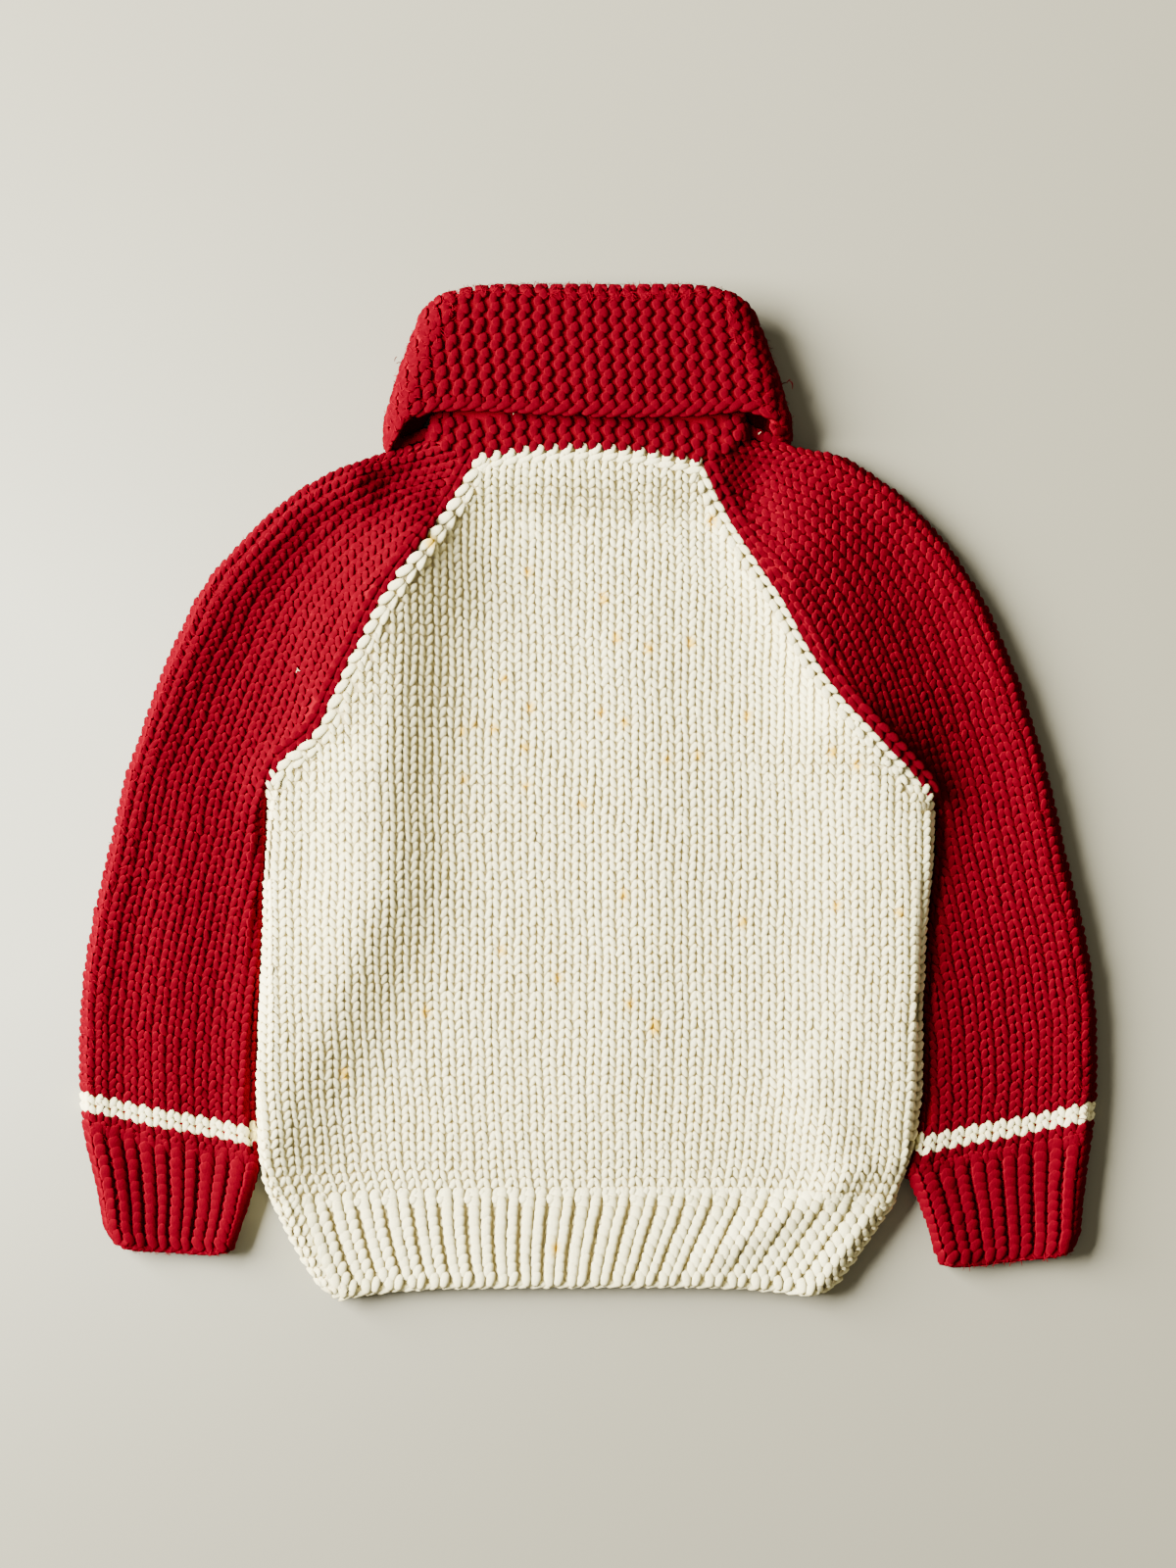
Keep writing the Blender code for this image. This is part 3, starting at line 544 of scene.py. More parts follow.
class Yarn:
    """Gathers strands of yarn, each a spindle laid in a frame, into arrays."""

    def __init__(self, sides=5, rings=3, seed=1, up=0.0):
        self.up = np.array((0.0, 0.0, up))
        self.t, self.f = spindle(sides, rings)
        # low: mask of each strand's low flanks and tips, which take the painted valley colour (painted
        # shade on cream, painted light on red)
        self.low = 1 - smooth(self.t[:, 2] + 0.25) * (1 - np.abs(self.t[:, 1]) ** 5)
        self.rand = np.random.default_rng(seed)
        self.parts, self.tones, self.outs = [], [], []

    def add(self, frame4, wide, long, deep, angle=0.0, lift=0.0, tilt=0.0,
            shift=0.0, bend=0.0, jitter=1.0):
        """Strands at each frame: angle turns them from the along direction
        towards the across one, tilt sinks the far end, bend bows them."""
        p, u, v, n = (x.reshape(-1, 3) for x in frame4)
        k = len(p)
        if k == 0:
            return self
        r = self.rand
        w, l, d, ang, up, ti, sh, be = (np.broadcast_to(np.asarray(x, float), (k,)) for x in (
            wide, long, deep, angle, lift, tilt, shift, bend))
        ang = ang + jitter * r.normal(0, 0.06, k)
        w = w * (1 + jitter * r.normal(0, 0.05, k))
        l = l * (1 + jitter * r.normal(0, 0.05, k))
        up = up + jitter * r.normal(0, 0.13, k)
        sh = sh + jitter * r.normal(0, 0.13, k)
        c, s = np.cos(ang)[:, None], np.sin(ang)[:, None]
        e, g = u * c - v * s, v * c + u * s
        t = self.t
        x = t[None, :, 0] * w[:, None] / 2 + be[:, None] * (t[None, :, 1] ** 2 - 0.4)
        y = t[None, :, 1] * l[:, None] / 2
        z = t[None, :, 2] * d[:, None] / 2 + t[None, :, 1] * ti[:, None]
        base = p + u * sh[:, None] + n * up[:, None]
        out = (base[:, None] + e[:, None] * x[..., None] + g[:, None] * y[..., None]
               + n[:, None] * z[..., None])
        self.parts.append(out)
        self.tones.append(np.repeat(r.uniform(-1, 1, k), len(t)))
        self.outs.append(np.repeat(n + self.up, len(t), axis=0))
        return self

    def piece(self, name, mat):
        """All the strands as one mesh, kept above the floor."""
        v = np.concatenate(self.parts)
        k = v.shape[0]
        v = v.reshape(-1, 3)
        v[:, 2] = np.maximum(v[:, 2], 0.0)
        f = (self.f[None] + (np.arange(k) * len(self.t))[:, None, None]).reshape(-1, 3)
        stain = np.zeros(len(v))
        for x, y, size, deep in SPECKS:
            d2 = ((v[:, 0] - x) / 1.7) ** 2 + ((v[:, 1] - y) / size) ** 2
            stain = np.maximum(stain, np.minimum(1.0, 4.0 * deep * np.exp(-d2)) * (v[:, 2] > 6))
        return put_mesh(name, v, f, mat, np.concatenate(self.tones), stain,
                        np.tile(self.low, k), np.concatenate(self.outs))


# ---- materials
class S:
    """A socket that adds, subtracts and multiplies as Math nodes."""

    def __init__(self, shade, socket):
        self.shade, self.socket = shade, socket

    def math(self, kind, other):
        return self.shade.node("ShaderNodeMath", {"operation": kind}, {0: self, 1: other})

    def __add__(self, o):
        return self.math("ADD", o)

    def __mul__(self, o):
        return self.math("MULTIPLY", o)

    def __sub__(self, o):
        return self.math("SUBTRACT", o)

    def __rsub__(self, o):
        return self.shade.node("ShaderNodeMath", {"operation": "SUBTRACT"}, {0: o, 1: self})

    __radd__, __rmul__ = __add__, __mul__


class Shade:
    """A material whose nodes come from one method."""

    def __init__(self, name):
        self.mat = bpy.data.materials.new(name)
        self.mat.use_nodes = True
        self.tree = self.mat.node_tree
        self.bsdf = self.tree.nodes["Principled BSDF"]

    def node(self, kind, settings=None, inputs=None, out=0):
        n = self.tree.nodes.new(kind)
        for key, val in (settings or {}).items():
            setattr(n, key, val)
        for key, val in (inputs or {}).items():
            if isinstance(val, S):
                self.tree.links.new(val.socket, n.inputs[key])
            else:
                n.inputs[key].default_value = val
        return S(self, n.outputs[out])

    def set(self, **values):
        for key, val in values.items():
            socket = self.bsdf.inputs[key.replace("_", " ")]
            if isinstance(val, S):
                self.tree.links.new(val.socket, socket)
            else:
                socket.default_value = val
        return self.mat

    def attribute(self, name, out=2):
        """A mesh attribute's value, or its vector where out is 1."""
        return self.node("ShaderNodeAttribute", {"attribute_name": name}, out=out)

    def mix(self, factor, a, b):
        return self.node("ShaderNodeMix", {"data_type": "RGBA"}, {0: factor, 6: a, 7: b}, 2)


NAP = 1.5   # share of the cloth's own direction in a strand's shading


def wool(name, base, deep, light, painted_valley, speck, fibre):
    """Matt wool: base colour drifting to a deeper one over centimetres, each
    strand a little lighter or darker, its low flanks and tips in a painted
    valley colour (painted shade on the cream, painted light on the red),
    fine fibres as noise in colour and bump, and specks where the stain
    attribute is.  The nap of standing fibres makes a strand take the light
    partly as the cloth under it does."""
    m = Shade(name)
    where = m.node("ShaderNodeTexCoord", out=3)
    drift = m.node("ShaderNodeTexNoise", None, {"Vector": where, "Scale": 22.0, "Detail": 2.0})
    fine = m.node("ShaderNodeTexNoise", None, {"Vector": where, "Scale": 900.0, "Detail": 3.0})
    col = m.mix(drift * 0.7 + fine * 0.5 + m.attribute("tone") * 0.16 - 0.1, deep, base)
    col = m.mix((fine - 0.5) * fibre, col, light)
    # painted shade on the cream and painted light on the red, in each strand's low flanks and tips
    col = m.mix(m.attribute("low") * 0.85, col, painted_valley)
    col = m.mix(m.attribute("stain"), col, speck)
    own = m.node("ShaderNodeNewGeometry", out=1)
    soft = m.node("ShaderNodeVectorMath", {"operation": "MULTIPLY_ADD"},
                  {0: m.attribute("out", 1), 1: (NAP, NAP, NAP), 2: own})
    soft = m.node("ShaderNodeVectorMath", {"operation": "NORMALIZE"}, {0: soft})
    bump = m.node("ShaderNodeBump", None, {"Strength": 0.35, "Distance": 0.0006,
                                           "Height": fine, "Normal": soft})
    m.set(Base_Color=col, Roughness=0.92, Normal=bump)
    m.bsdf.inputs["Specular IOR Level"].default_value = 0.0
    return m.mat


CREAM = wool("cream_wool", (0.94, 0.88, 0.52, 1), (0.89, 0.81, 0.43, 1),
             (0.96, 0.92, 0.66, 1), (0.50, 0.38, 0.15, 1), (0.80, 0.50, 0.03, 1), 0.5)
# the cream shell seen between the strands: a darker copy of the cream wool, as painted shade
CREAM_PAINTED_SHADE = wool("cream_wool_painted_shade", (0.66, 0.57, 0.32, 1), (0.56, 0.48, 0.25, 1),
                  (0.72, 0.64, 0.38, 1), (0.50, 0.40, 0.19, 1), (0.7, 0.35, 0.05, 1), 0.3)
RED = wool("red_wool", (0.082, 0.0001, 0.0042, 1), (0.068, 0.0001, 0.0034, 1),
           (0.095, 0.0001, 0.0050, 1), (0.20, 0.0001, 0.0085, 1), (0.2, 0.02, 0.01, 1), 0.5)
# the red shell seen between the strands: a lighter copy of the red wool, as painted light in the
# valleys
RED_PAINTED_LIGHT = wool("red_wool_painted_light", (0.17, 0.0001, 0.007, 1), (0.14, 0.0001, 0.006, 1),
                (0.19, 0.0001, 0.008, 1), (0.2, 0.0001, 0.01, 1), (0.2, 0.02, 0.01, 1), 0.3)


def cut(node):
    """Hides a cloth's solid."""
    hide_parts(node)


# ---- knitted cloth
def uneven(a, b):
    """Hand tension: sines of both places wander the wales by half a
    millimetre and the rows by a third."""
    return (a + 0.4 * np.sin(b / 19.0 + a / 31.0) + 0.25 * np.sin(b / 7.3 + a / 11.0),
            b + 0.3 * np.sin(a / 9.7 + b / 27.0))


def stockinette(yarn, surface, a, b, out, sink=1.4, size=1.0, deep=LEG_D, jitter=1.0):
    """Knit stitches: at each place two legs that lean apart upwards, the
    left to the left and the right to the right, the foot of each tucked
    under the tops of the row below."""
    fr = lay(surface, *uneven(a, b), out)
    for way in (-1.0, 1.0):
        yarn.add(fr, LEG_W * size, LEG_L, deep, angle=way * 0.5,
                 lift=(LEG_D - deep) / 2 - sink, tilt=0.8, shift=way * WALE * 0.24, bend=-way * 0.35,
                 jitter=jitter)
    return yarn


def grid(a, b):
    """Every a with every b, flat."""
    x, y = np.meshgrid(a, b)
    return x.ravel(), y.ravel()


def gathered(q):
    """How close the wales stand: they draw in towards the hem."""
    return np.interp(q, (-206.0, -190.0, -150.0, -110.0), (0.925, 0.965, 0.99, 1.0))


def body_stitches(rows, under):
    """The stitches of a body panel: wales a fixed step apart, cut off by the
    raglans and running round the side folds."""
    surface, limits = panel(rows, under)
    wales = (np.arange(-27, 27) + 0.5) * WALE + 3.0
    q = np.arange(rows[0, 4] + 2.0, rows[-1, 4] - 3.0, ROW)
    w, qq = grid(wales, q)
    a = w * gathered(qq)
    lo, hi = limits(np.clip(qq, rows[0, 4], rows[-1, 4]))
    inside = np.where(qq < -2.0, 5.2, 8.4)
    keep = (a > lo + inside) & (a < hi - inside)
    rim = q[q < 6.0]
    lo, hi = limits(np.clip(rim, rows[0, 4], rows[-1, 4]))
    a = np.concatenate([a[keep], lo + EDGE, hi - EDGE])
    return surface, a, np.concatenate([qq[keep], rim, rim])


def panel_shell(name, rows, under, mat, half=0, nq=64, na=72):
    """A body panel's shell over its rows; half takes one side of the middle."""
    surface, limits = panel(rows, under)
    q = np.linspace(rows[0, 4], rows[-1, 4], nq)
    lo, hi = limits(q)
    t = np.linspace(0, 1, na)
    if half < 0:
        hi = 0 * hi - 0.3
    if half > 0:
        lo = 0 * lo + 0.3
    a = lo[:, None] + (hi - lo)[:, None] * t[None]
    qq = np.repeat(q[:, None], na, 1)
    return shell(name, surface(a, qq, TOP_SINK), surface(a, qq, IN_SINK), mat)


surface, a, q = body_stitches(BACK_ROWS, False)
for part, keep in (("lower", q < -30.0), ("upper", q >= -30.0)):
    y = Yarn(5, 3, 11)
    plump = (np.minimum(np.abs(a + 30.5), np.abs(a - 29.1)) < 1.0) & (q > 124.0)
    stockinette(y, surface, a[keep], q[keep], 1.0, size=1.0 + 0.16 * plump[keep])
    y.piece("back_stitches_" + part, CREAM)

surface, a, q = body_stitches(FRONT_ROWS, True)
for part, keep in (("left", a < -1.5), ("right", a > 1.5)):
    y = Yarn(4, 2, 13)
    stockinette(y, surface, a[keep], q[keep], -1.0, sink=1.85)
    y.piece("front_stitches_" + part, CREAM)

back = panel_shell("back_cloth", BACK_ROWS, False, CREAM_PAINTED_SHADE)
fronts = [panel_shell("front_%s_cloth" % n, FRONT_ROWS, True, CREAM_PAINTED_SHADE, half=h, na=30)
          for n, h in (("left", -1), ("right", 1))]


# ---- sleeves
def tube_shell(name, surface, limits, length, around, along, sink):
    """A sleeve's or cuff's shell, all round it and from end to end."""
    q = np.linspace(0, length, along)
    b = limits(q)[:, None] * np.linspace(-1, 1, around)[None]
    q = np.repeat(q[:, None], around, 1)
    return shell(name, surface(b, q, sink), surface(b, q, IN_SINK), RED_PAINTED_LIGHT)


def sleeve(side, name):
    """A sleeve: its shell, its stitches above and below, and the two rows of
    cream yarn above the cuff."""
    surface, limits, key = tube(sleeve_table(side), FOLDS[side])
    length, armpit = key[-1], key[8] + 8.0
    wales = (np.arange(-18, 18) + 0.5) * WALE
    b, ss, row = even_rows(surface, wales, length)
    keep = np.abs(b) < limits(ss) - np.where(ss < armpit, 5.2, 6.6)
    rim = np.arange(1.5, armpit, ROW)
    end = limits(rim) - EDGE
    b = np.concatenate([b[keep], end, -end])
    ss = np.concatenate([ss[keep], rim, rim])
    row = np.concatenate([row[keep], np.arange(len(rim)), np.arange(len(rim))])
    stripe = (row == STRIPE) | (row == STRIPE + 1)
    out = -float(side)
    made = []
    for part, pick, mat, fine in (("top_stitches", (b > -12) & ~stripe, RED, True),
                                  ("under_stitches", (b <= -12) & ~stripe, RED, False),
                                  ("stripe", stripe, CREAM, True)):
        y = Yarn(5, 3, 21) if fine else Yarn(4, 2, 22)
        under = b[pick] < -8
        stockinette(y, surface, b[pick], ss[pick], out, np.where(under, 1.95, 1.4),
                    1.04 if mat is RED else 1.14, 2.8 if mat is RED else LEG_D,
                    1.4 if mat is RED else 0.5)
        made.append(y.piece("%s_%s" % (name, part), mat))
    return tube_shell(name + "_cloth", surface, limits, length, 64, 60, TOP_SINK), made


sleeves = {n: sleeve(s, n) for s, n in ((-1, "sleeve_left"), (1, "sleeve_right"))}


# ---- ribbing
def rib(yarn, surface, centre, pitch, b, out, under, gap, rise, deep):
    """One row of ribbing at each place: a raised knit column of a smooth
    cord and a stacked one, and a purl bar sunk between it and the next."""
    base = (4.4 - deep) / 2 - (1.95 if under else 1.5)
    cord = (1.0 - gap) / 2
    for off, wide, long, thick, angle, tilt, lift in (
            (-(gap + cord) / 2, cord * 1.1 * pitch, 9.6, deep, -0.1, 0.3, rise),
            ((cord - gap) / 2, cord * 1.02 * pitch, 9.4, deep, 0.24, 0.45, rise),
            (0.5, 4.1, (gap + 0.12) * pitch, 3.0, math.pi / 2, 0.0, -0.5 * (not under))):
        yarn.add(lay(surface, centre + out * off * pitch, b, out), wide, long, thick,
                 angle=angle, lift=base + lift, tilt=tilt, jitter=0.8)
    return yarn


def chain(yarn, surface, a, b, out, long, wide, deep, angle, lift):
    """Slanted strands in a line along an edge, each overlapping the next."""
    return yarn.add(lay(surface, a, b, out, rim=True), wide, long, deep, angle=angle,
                    lift=lift, jitter=0.6)


surf_hem, lim_hem = panel(HEM, False)
surf_hem_low, _ = panel(HEM, True)
hem_q = np.arange(HEM[0, 4] + 4.4, HEM[-1, 4] + 2.0, ROW)
for name, surface, out, sides, rings in (
        ("hem_stitches", surf_hem, 1.0, 6, 3),
        ("hem_under_stitches", surf_hem_low, -1.0, 4, 2)):
    y = Yarn(sides, rings, 31)
    col, q = grid(np.arange(RIBS), hem_q)
    lo, hi = lim_hem(q)
    first = lo + np.interp(q, (-252.0, -206.0), (9.0, 19.0))
    pitch = (hi - 7.0 - first) / RIBS
    rise = RIB_RISE * smooth((HEM[-1, 4] + 3.0 - q) / 12.0) * (out > 0)
    rib(y, surface, first + (col + 0.42) * pitch, pitch, q, out, out < 0, 0.14, rise, 4.0)
    lo, hi = lim_hem(hem_q)
    step, sink = np.interp(hem_q, (-252.0, -206.0), (2.6, 5.3)), 1.9 if out < 0 else 1.2
    for k in range(4):
        stockinette(y, surface, lo + EDGE + k * step, hem_q, out, sink)
        if k < 2:
            stockinette(y, surface, hi - EDGE - k * 4.0, hem_q, out, sink)
    lo, hi = lim_hem(np.full(1, HEM[-1, 4]))
    if out > 0:
        pitch = (hi[0] - 26.0 - lo[0]) / RIBS
        bump = lo[0] + 19.0 + (np.arange(RIBS) + 0.92) * pitch
        y.add(lay(surface, bump, 0 * bump + HEM[-1, 4] - 0.6, out), 5.4, 5.0, 4.6, lift=-0.9)
    lo, hi = lim_hem(np.full(1, HEM[0, 4]))
    aa = np.arange(lo[0] + 4.0, hi[0] - 3.0, 6.5)
    chain(y, surface, aa, 0 * aa + HEM[0, 4] + 1.4, out, 13.6, 3.5, 3.6,
          out * (math.pi / 2 - 0.26), -1.9)
    y.piece(name, CREAM)
hem = panel_shell("hem_cloth", HEM, False, CREAM_PAINTED_SHADE, nq=14, na=90)
hem_low = [panel_shell("hem_%s_cloth" % n, HEM, True, CREAM_PAINTED_SHADE, half=h, nq=14, na=30)
           for n, h in (("left", -1), ("right", 1))]


def cuff(side, name, table):
    """A cuff: ribbed all round, its cast-off edge as a chain."""
    surface, limits, key = tube(cuff_table(table), FOLDS[side])
    length = key[-1]
    s = np.arange(4.8, length + 2.5, ROW)
    out = -float(side)
    top = Yarn(5, 3, 41)
    for way in (1.0, -1.0):
        col, ss = grid(np.arange(CUFF_RIBS), s)
        pitch = limits(np.clip(ss, 0, length)) / (CUFF_RIBS + 0.1)
        rise = 0.9 * smooth((length + 4.0 - ss) / 12.0) * (way > 0)
        rib(top, surface, way * (col + 0.48) * pitch, pitch, ss, out, way < 0, 0.08, rise, 3.5)
    lim = limits(np.zeros(1))[0]
    b = np.arange(-lim + 3.0, lim - 2.0, 5.4)
    chain(top, surface, b, 0 * b + 1.6, out, 10.6, 4.6, 3.8, out * (math.pi / 2 - 0.14), -1.6)
    made = [top.piece("%s_stitches" % name, RED)]
    return tube_shell(name + "_cloth", surface, limits, length, 60, 14, TOP_SINK + 0.5), made


cuffs = {n: cuff(s, n, t) for s, n, t in ((-1, "cuff_left", CUFF_LEFT), (1, "cuff_right", CUFF_RIGHT))}


# ---- collar
def collar_cloth():
    """The collar's shell: the fall's face, the fold, the inside of the
    stand, and the face between stand and fall, as one closed strip from the
    centre front round the back and to the centre front again."""
    c = np.concatenate([np.linspace(0, FLAT, 26), FLAT + np.linspace(1, TURN - 1, 14),
                        FLAT + TURN + np.linspace(0, 90.6, 18)])
    c[-1] = 221.6
    grids = []
    for side in (-1.0, 1.0):
        st = collar_station(c, side)
        y_turn, edge, seam = st[2] - HALF, st[3], st[4]
        outer, inner = [], []
        for t in np.linspace(0, 1, 12):
            y = seam + (y_turn - seam) * t
            for path, r in ((outer, 0.8), (inner, COLLAR - 1.6)):
                path.append(collar_point(st, side, y, NEAR + r, stand_width(y) - COLLAR + r, 1.0))
        for deg in (30, 60, 90, 120, 150):
            e = math.radians(180 - deg)
            for path, rad in ((outer, HALF - 1.8), (inner, HALF - COLLAR + 0.6)):
                r = NEAR + HALF + rad * math.cos(e)
                path.append(collar_point(st, side, y_turn + rad * math.sin(e), r,
                                         fall_width(y_turn) - (FAR - r)))
        for t in np.linspace(0, 1, 12):
            y = y_turn + (edge + 1.5 - y_turn) * t
            for path, r in ((outer, 1.8), (inner, COLLAR - 0.6)):
                path.append(collar_point(st, side, y, FAR - r, fall_width(y) - r))
        grids.append((np.stack(outer, 1), np.stack(inner, 1)))
    (lo, li), (ro, ri) = grids
    outer = np.concatenate([lo[::-1], ro[1:]])
    inner = np.concatenate([li[::-1], ri[1:]])
    return shell("collar_cloth", outer, inner, RED_PAINTED_LIGHT)


def garter(yarn, surface, side, c, w, under):
    """Garter bumps up a ridge: knobs set to the left and the right of the
    ridge's line by turns, their ends overlapping into a rope."""
    fr = lay(surface, c, w, side)
    step = np.round(w / BUMP).astype(int) % 2 * 2.0 - 1.0
    yarn.add(fr, 5.6, 6.4, 3.9, angle=-0.12 - (step > 0) * 0.32, shift=step * 1.1,
             lift=-1.9 if under else -1.25, bend=step * 0.35)
    return yarn


def neck_place(x, y, width):
    """Where a ridge x mm from the centre back lies round the neck at a
    height: even over the flat half, round the side turn, and back under."""
    half = width(y) - FAR
    return np.where(x < half, x * FLAT / half, np.where(
        x < half + TURN, x - half + FLAT, FLAT + TURN + (x - half - TURN) * FLAT / half))


fine, coarse = Yarn(5, 3, 51, 0.9), Yarn(4, 2, 52)
ridges = (np.arange(-30, 30) + 0.5) * RIDGE
for side in (-1.0, 1.0):
    surface = fall(side)
    x, w = grid(ridges, np.arange(5.2, 110.0, BUMP))
    up = w
    for _ in range(4):
        up = np.clip(up, -14.0, 52.0)
        lean = x - up * (0.09 + 0.08 * np.clip(-x / FLAT, 0, 1))
        c = neck_place(np.abs(lean), 192.0 + up, fall_width)
        up = collar_station(c, side)[3] + w - 192.0
    c, w = c[lean * side >= 0], w[lean * side >= 0]
    st = collar_station(c, side)
    run = st[2] - HALF - st[3]
    keep = (w < run + HALF * 2.2) & (c < 221)
    vis = c < 122
    for yarn, pick, under in ((fine, keep & vis, False), (coarse, keep & ~vis, True)):
        garter(yarn, surface, side, c[pick], w[pick], under)
    edge = np.arange(0.3, 29.0) * RIDGE
    edge = edge if side > 0 else edge + 0.4 * RIDGE
    for sel, yarn in ((edge < 132, fine), (edge >= 132, coarse)):
        cs = edge[sel]
        chain(yarn, surface, cs, 0 * cs + 3.0, side, 11.8, 5.4, 5.0, math.pi / 2 - 0.42, -1.8)
        chain(yarn, surface, cs + RIDGE / 2, 0 * cs + 0.8, side, 10.5, 4.0, 4.2,
              math.pi / 2 - 0.12, -2.5)
    surface = stand(side)
    x, w = grid((np.arange(30) + 0.5) * RIDGE, np.arange(0.8, 20.0, BUMP))
    st = collar_station(x, side)
    c = neck_place(x, st[4] + w, lambda h: stand_width(h) - NEAR - COLLAR + FAR)
    st = collar_station(c, side)
    keep = (st[4] + w < st[3] + 9.0) & (c < 150)
    garter(fine, surface, side, c[keep], w[keep], False)
collar_pieces = [fine.piece("collar_stitches", RED), coarse.piece("collar_under_stitches", RED)]
collar = collar_cloth()


# ---- seams and edges
def path_frames(pts, pitch, height):
    """Frames at even steps along a line in plan, set on the cloth's top."""
    pts = np.asarray(pts, float)
    run = run_along(pts)
    at = np.arange(pitch / 2, run[-1], pitch)
    x, y = columns(run, pts, at)
    ahead, behind = columns(run, pts, at + 2), columns(run, pts, at - 2)
    v = unit(np.stack([ahead[0] - behind[0], ahead[1] - behind[1], 0 * x], -1))
    u = np.stack([v[:, 1], -v[:, 0], 0 * x], -1)
    return np.stack([x, y, height(x, y)], -1), u, v, np.tile([0.0, 0.0, 1.0], (len(at), 1))


def seam_top(x, y):
    """Height of the cloth along a raglan seam."""
    return REST + fold_height(BACK_FOLDS, x, y) + neck_lift(x, y) + seam_ridge(0.0, y)


cream_chain, red_chain = Yarn(7, 4, 61), Yarn(6, 4, 62, 0.9)
# nubs: pitch, width, length, depth, angle, lift, place beside the seam
RED_NUBS = ((6.4, 4.4, 9.2, 4.2, 0.25, -1.6, 1.2), (6.4, 4.4, 8.6, 4.2, -0.25, -1.5, 4.6))
for side, line, nubs in (
        (-1.0, RAGLAN_LEFT, ((8.4, 5.2, 10.0, 4.4, -0.42, -1.1, 2.9),
                             (8.4, 4.4, 9.4, 4.0, 0.2, -1.8, 6.8))),
        (1.0, RAGLAN_RIGHT, ((6.4, 3.8, 8.0, 3.6, -0.3, -1.5, 2.1),
                             (6.4, 4.0, 8.0, 3.7, 0.2, -1.8, 5.8)))):
    for yarn, way, kinds in ((cream_chain, -side, nubs), (red_chain, side, RED_NUBS)):
        for pitch, wide, long, deep, angle, lift, off in kinds:
            yarn.add(path_frames(line[:, :2], pitch, seam_top), wide, long, deep,
                     angle=side * angle, lift=lift, shift=way * off)
xx = np.linspace(BACK_ROWS[-1, 0], BACK_ROWS[-1, 2], 40)
neck = np.stack([xx, neck_arc(xx) - 1.4], 1)
for wide, long, angle, lift, down in ((5.4, 7.4, -1.0, -0.9, -0.4), (4.2, 9.6, -0.3, -1.2, 3.4)):
    cream_chain.add(path_frames(neck, 7.3, lambda x, y: REST + neck_lift(x, y)),
                    wide, long, 4.3, angle=angle, lift=lift, shift=down)


def loose(yarn, spots, wide, long, deep):
    """Single strands at spots: x, y, height and angle of each."""
    spots = np.array(spots, dtype=float)
    x, y, z = (np.tile(row, (len(spots), 1)) for row in np.eye(3))
    return yarn.add((spots[:, :3], x, y, z), wide, long, deep, angle=spots[:, 3], bend=0.5)


# the ends of the fall, closed by the knit that turns in under them
for line, z in ((((-101, 176.5), (-94, 178.5), (-86, 181.5), (-78, 184.5)), (3.0, 7.5, 11.5)),
                (((-98.5, 190), (-98.8, 183), (-98, 177)), (8.0, 12.5)),
                (((102, 178), (94, 180), (86, 182.5), (80, 185)), (3.0, 7.5, 11.5))):
    for level in z:
        red_chain.add(path_frames(line, 4.4, lambda x, y: 0 * x + level), 5.6, 8.0, 5.4, angle=0.35)
loose(red_chain, [(99.5, 208.5, 12, 1.2), (101.6, 209.6, 13, 0.7), (103.4, 209.0, 13, 2.2),
                  (103.6, 207.2, 12, 3.0), (-96.5, 219, 12, 1.4), (-98.5, 221, 13, 0.4)],
      0.55, 3.2, 0.5)
loose(cream_chain, [(-148, 62, 15.5, 0.6), (-147.4, 62.6, 15.8, -0.8), (87, 183, 14.5, 0.9),
                    (-38, 193, 19.6, 0.4), (-37.4, 193.6, 19.8, -1.0)], 0.3, 2.2, 0.25)
cream_chain.piece("seam_chain_cream", CREAM)
red_chain.piece("seam_chain_red", RED)


# ---- nap
fibres = Yarn(3, 3, 71)


def nap(surface, a, b, out, count):
    """Loose fibres at even chances over a stretch of a surface, each a thin
    bowed strand at any angle with one end raised."""
    r = fibres.rand
    fibres.add(lay(surface, r.uniform(*a, count), r.uniform(*b, count), out), 0.34,
               r.uniform(2.4, 5.4, count), 0.3, angle=r.uniform(-3, 3, count),
               lift=r.uniform(0.2, 1.0, count), tilt=r.uniform(-1.3, 1.3, count),
               bend=r.uniform(-0.9, 0.9, count))


for side, cuff_rows in ((-1.0, CUFF_LEFT), (1.0, CUFF_RIGHT)):
    surface, _, key = tube(sleeve_table(side), FOLDS[side])
    nap(surface, (-11.0, 16.0), (0.0, key[-1] - 20.0), -side, 420)
    surface, _, key = tube(cuff_table(cuff_rows), FOLDS[side])
    nap(surface, (-11.0, 16.0), (0.0, key[-1]), -side, 60)
    nap(surface, (0.0, 60.0), (-0.8, 1.2), -side, 40)
    nap(fall(side), (84.0, 122.0), (0.0, 62.0), side, 160)
    nap(fall(side), (0.0, 90.0), (58.0, 72.0), side, 220)
fibres.piece("red_fibres", RED)


# ---- the plain solids, hidden
# cuts and stand-ins
cut("back")
cut("front_left")
cut("front_right")
cut("back_hem_rib")
cut("front_left_rib")
cut("front_right_rib")
for name, (cloth, made) in sleeves.items():
    cut(name)
for name, (cloth, made) in cuffs.items():
    cut(name)
cut("collar")

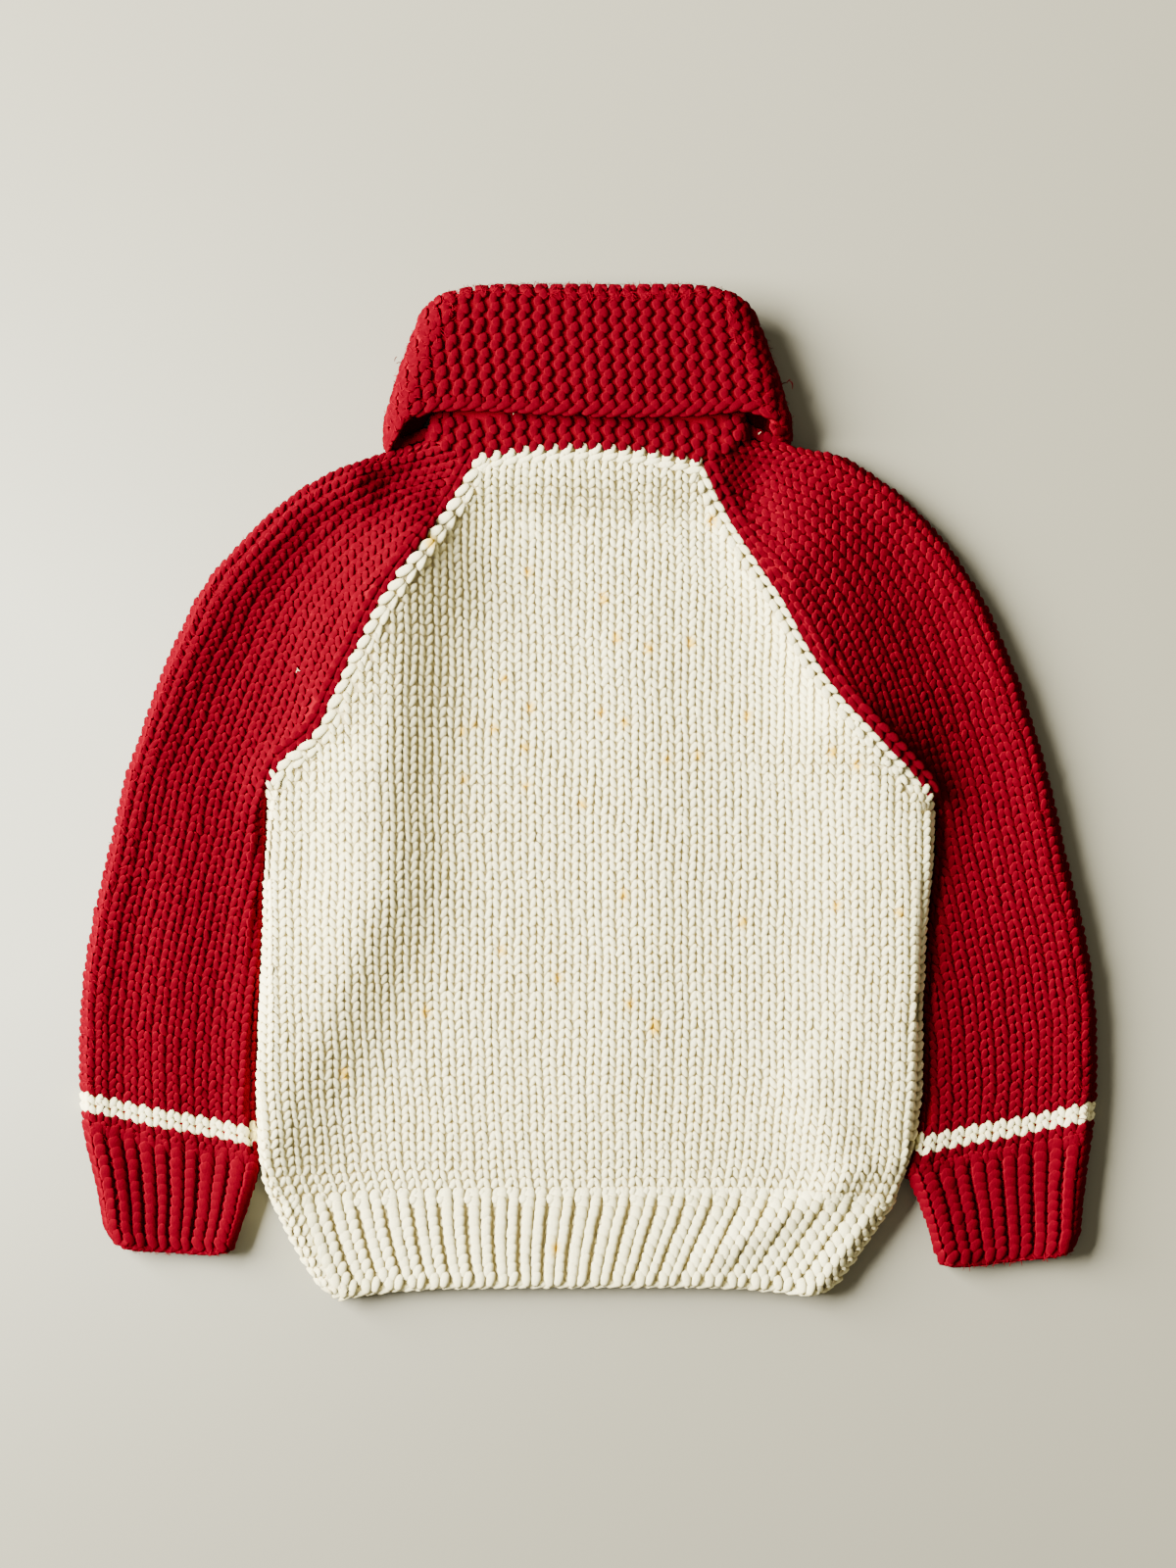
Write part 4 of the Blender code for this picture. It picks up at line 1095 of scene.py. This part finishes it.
# ---- floor, light and camera
me = bpy.data.meshes.new("floor")
me.from_pydata([(-4, -4, 0), (4, -4, 0), (4, 4, 0), (-4, 4, 0)], [], [(0, 1, 2, 3)])
floor = add_object("floor", me)
ground = Shade("paper")
place = ground.node("ShaderNodeTexCoord", out=3)


def painted_oval(x, y, wide, high):
    """A soft oval for painted light and shade on the floor: one less the distance from its middle."""
    off = place
    for kind, by in (("SUBTRACT", (x, y, 0.0)), ("DIVIDE", (wide, high, 1.0))):
        off = ground.node("ShaderNodeVectorMath", {"operation": kind}, {0: off, 1: by})
    return ground.node("ShaderNodeTexGradient", {"gradient_type": "QUADRATIC_SPHERE"},
                       {"Vector": off}, 1)


# painted pool of light on the floor, brightest at the left
tint = ground.mix(painted_oval(-0.40, 0.0, 0.62, 0.47) * 1.9, (0.281, 0.263, 0.187, 1),
                  (0.442, 0.432, 0.338, 1))
# painted shade on the floor, darker towards the bottom right
tint = ground.mix(painted_oval(0.12, -0.62, 0.85, 0.62) * 0.9, tint, (0.180, 0.169, 0.121, 1))
soft = ground.node("ShaderNodeTexNoise", None, {"Vector": place, "Scale": 5.0, "Detail": 2.0})
tint = ground.mix(soft * 0.12, tint, (0.190, 0.178, 0.130, 1))
me.materials.append(ground.set(Base_Color=tint, Roughness=0.5))

world = bpy.data.worlds.new("studio")
bpy.context.scene.world = world
world.use_nodes = True
sky = world.node_tree.nodes["Background"]
sky.inputs[0].default_value = (1.0, 0.93, 0.75, 1)
sky.inputs[1].default_value = 0.30
KEY = 768.0

# a square soft light aimed at the middle of the sweater
spot = np.array((-2.20, 0.68, 1.36))
aim = -spot / np.linalg.norm(spot)
lamp = bpy.data.lights.new("key", "AREA")
lamp.size, lamp.energy, lamp.color = 1.9, KEY, (1.0, 0.995, 0.975)
light = add_object("key", lamp)
light.location = spot
light.rotation_euler = (math.acos(-aim[2]), 0.0, math.atan2(aim[1], aim[0]) - math.pi / 2)

cam = bpy.data.cameras.new("camera")
cam.sensor_fit = "VERTICAL"
cam.sensor_height = 24.0
cam.lens = 24.0 * 2.2 / 0.8
eye = add_object("camera", cam)
eye.location = (-0.00025, 0.0045, 2.208)
bpy.context.scene.camera = eye
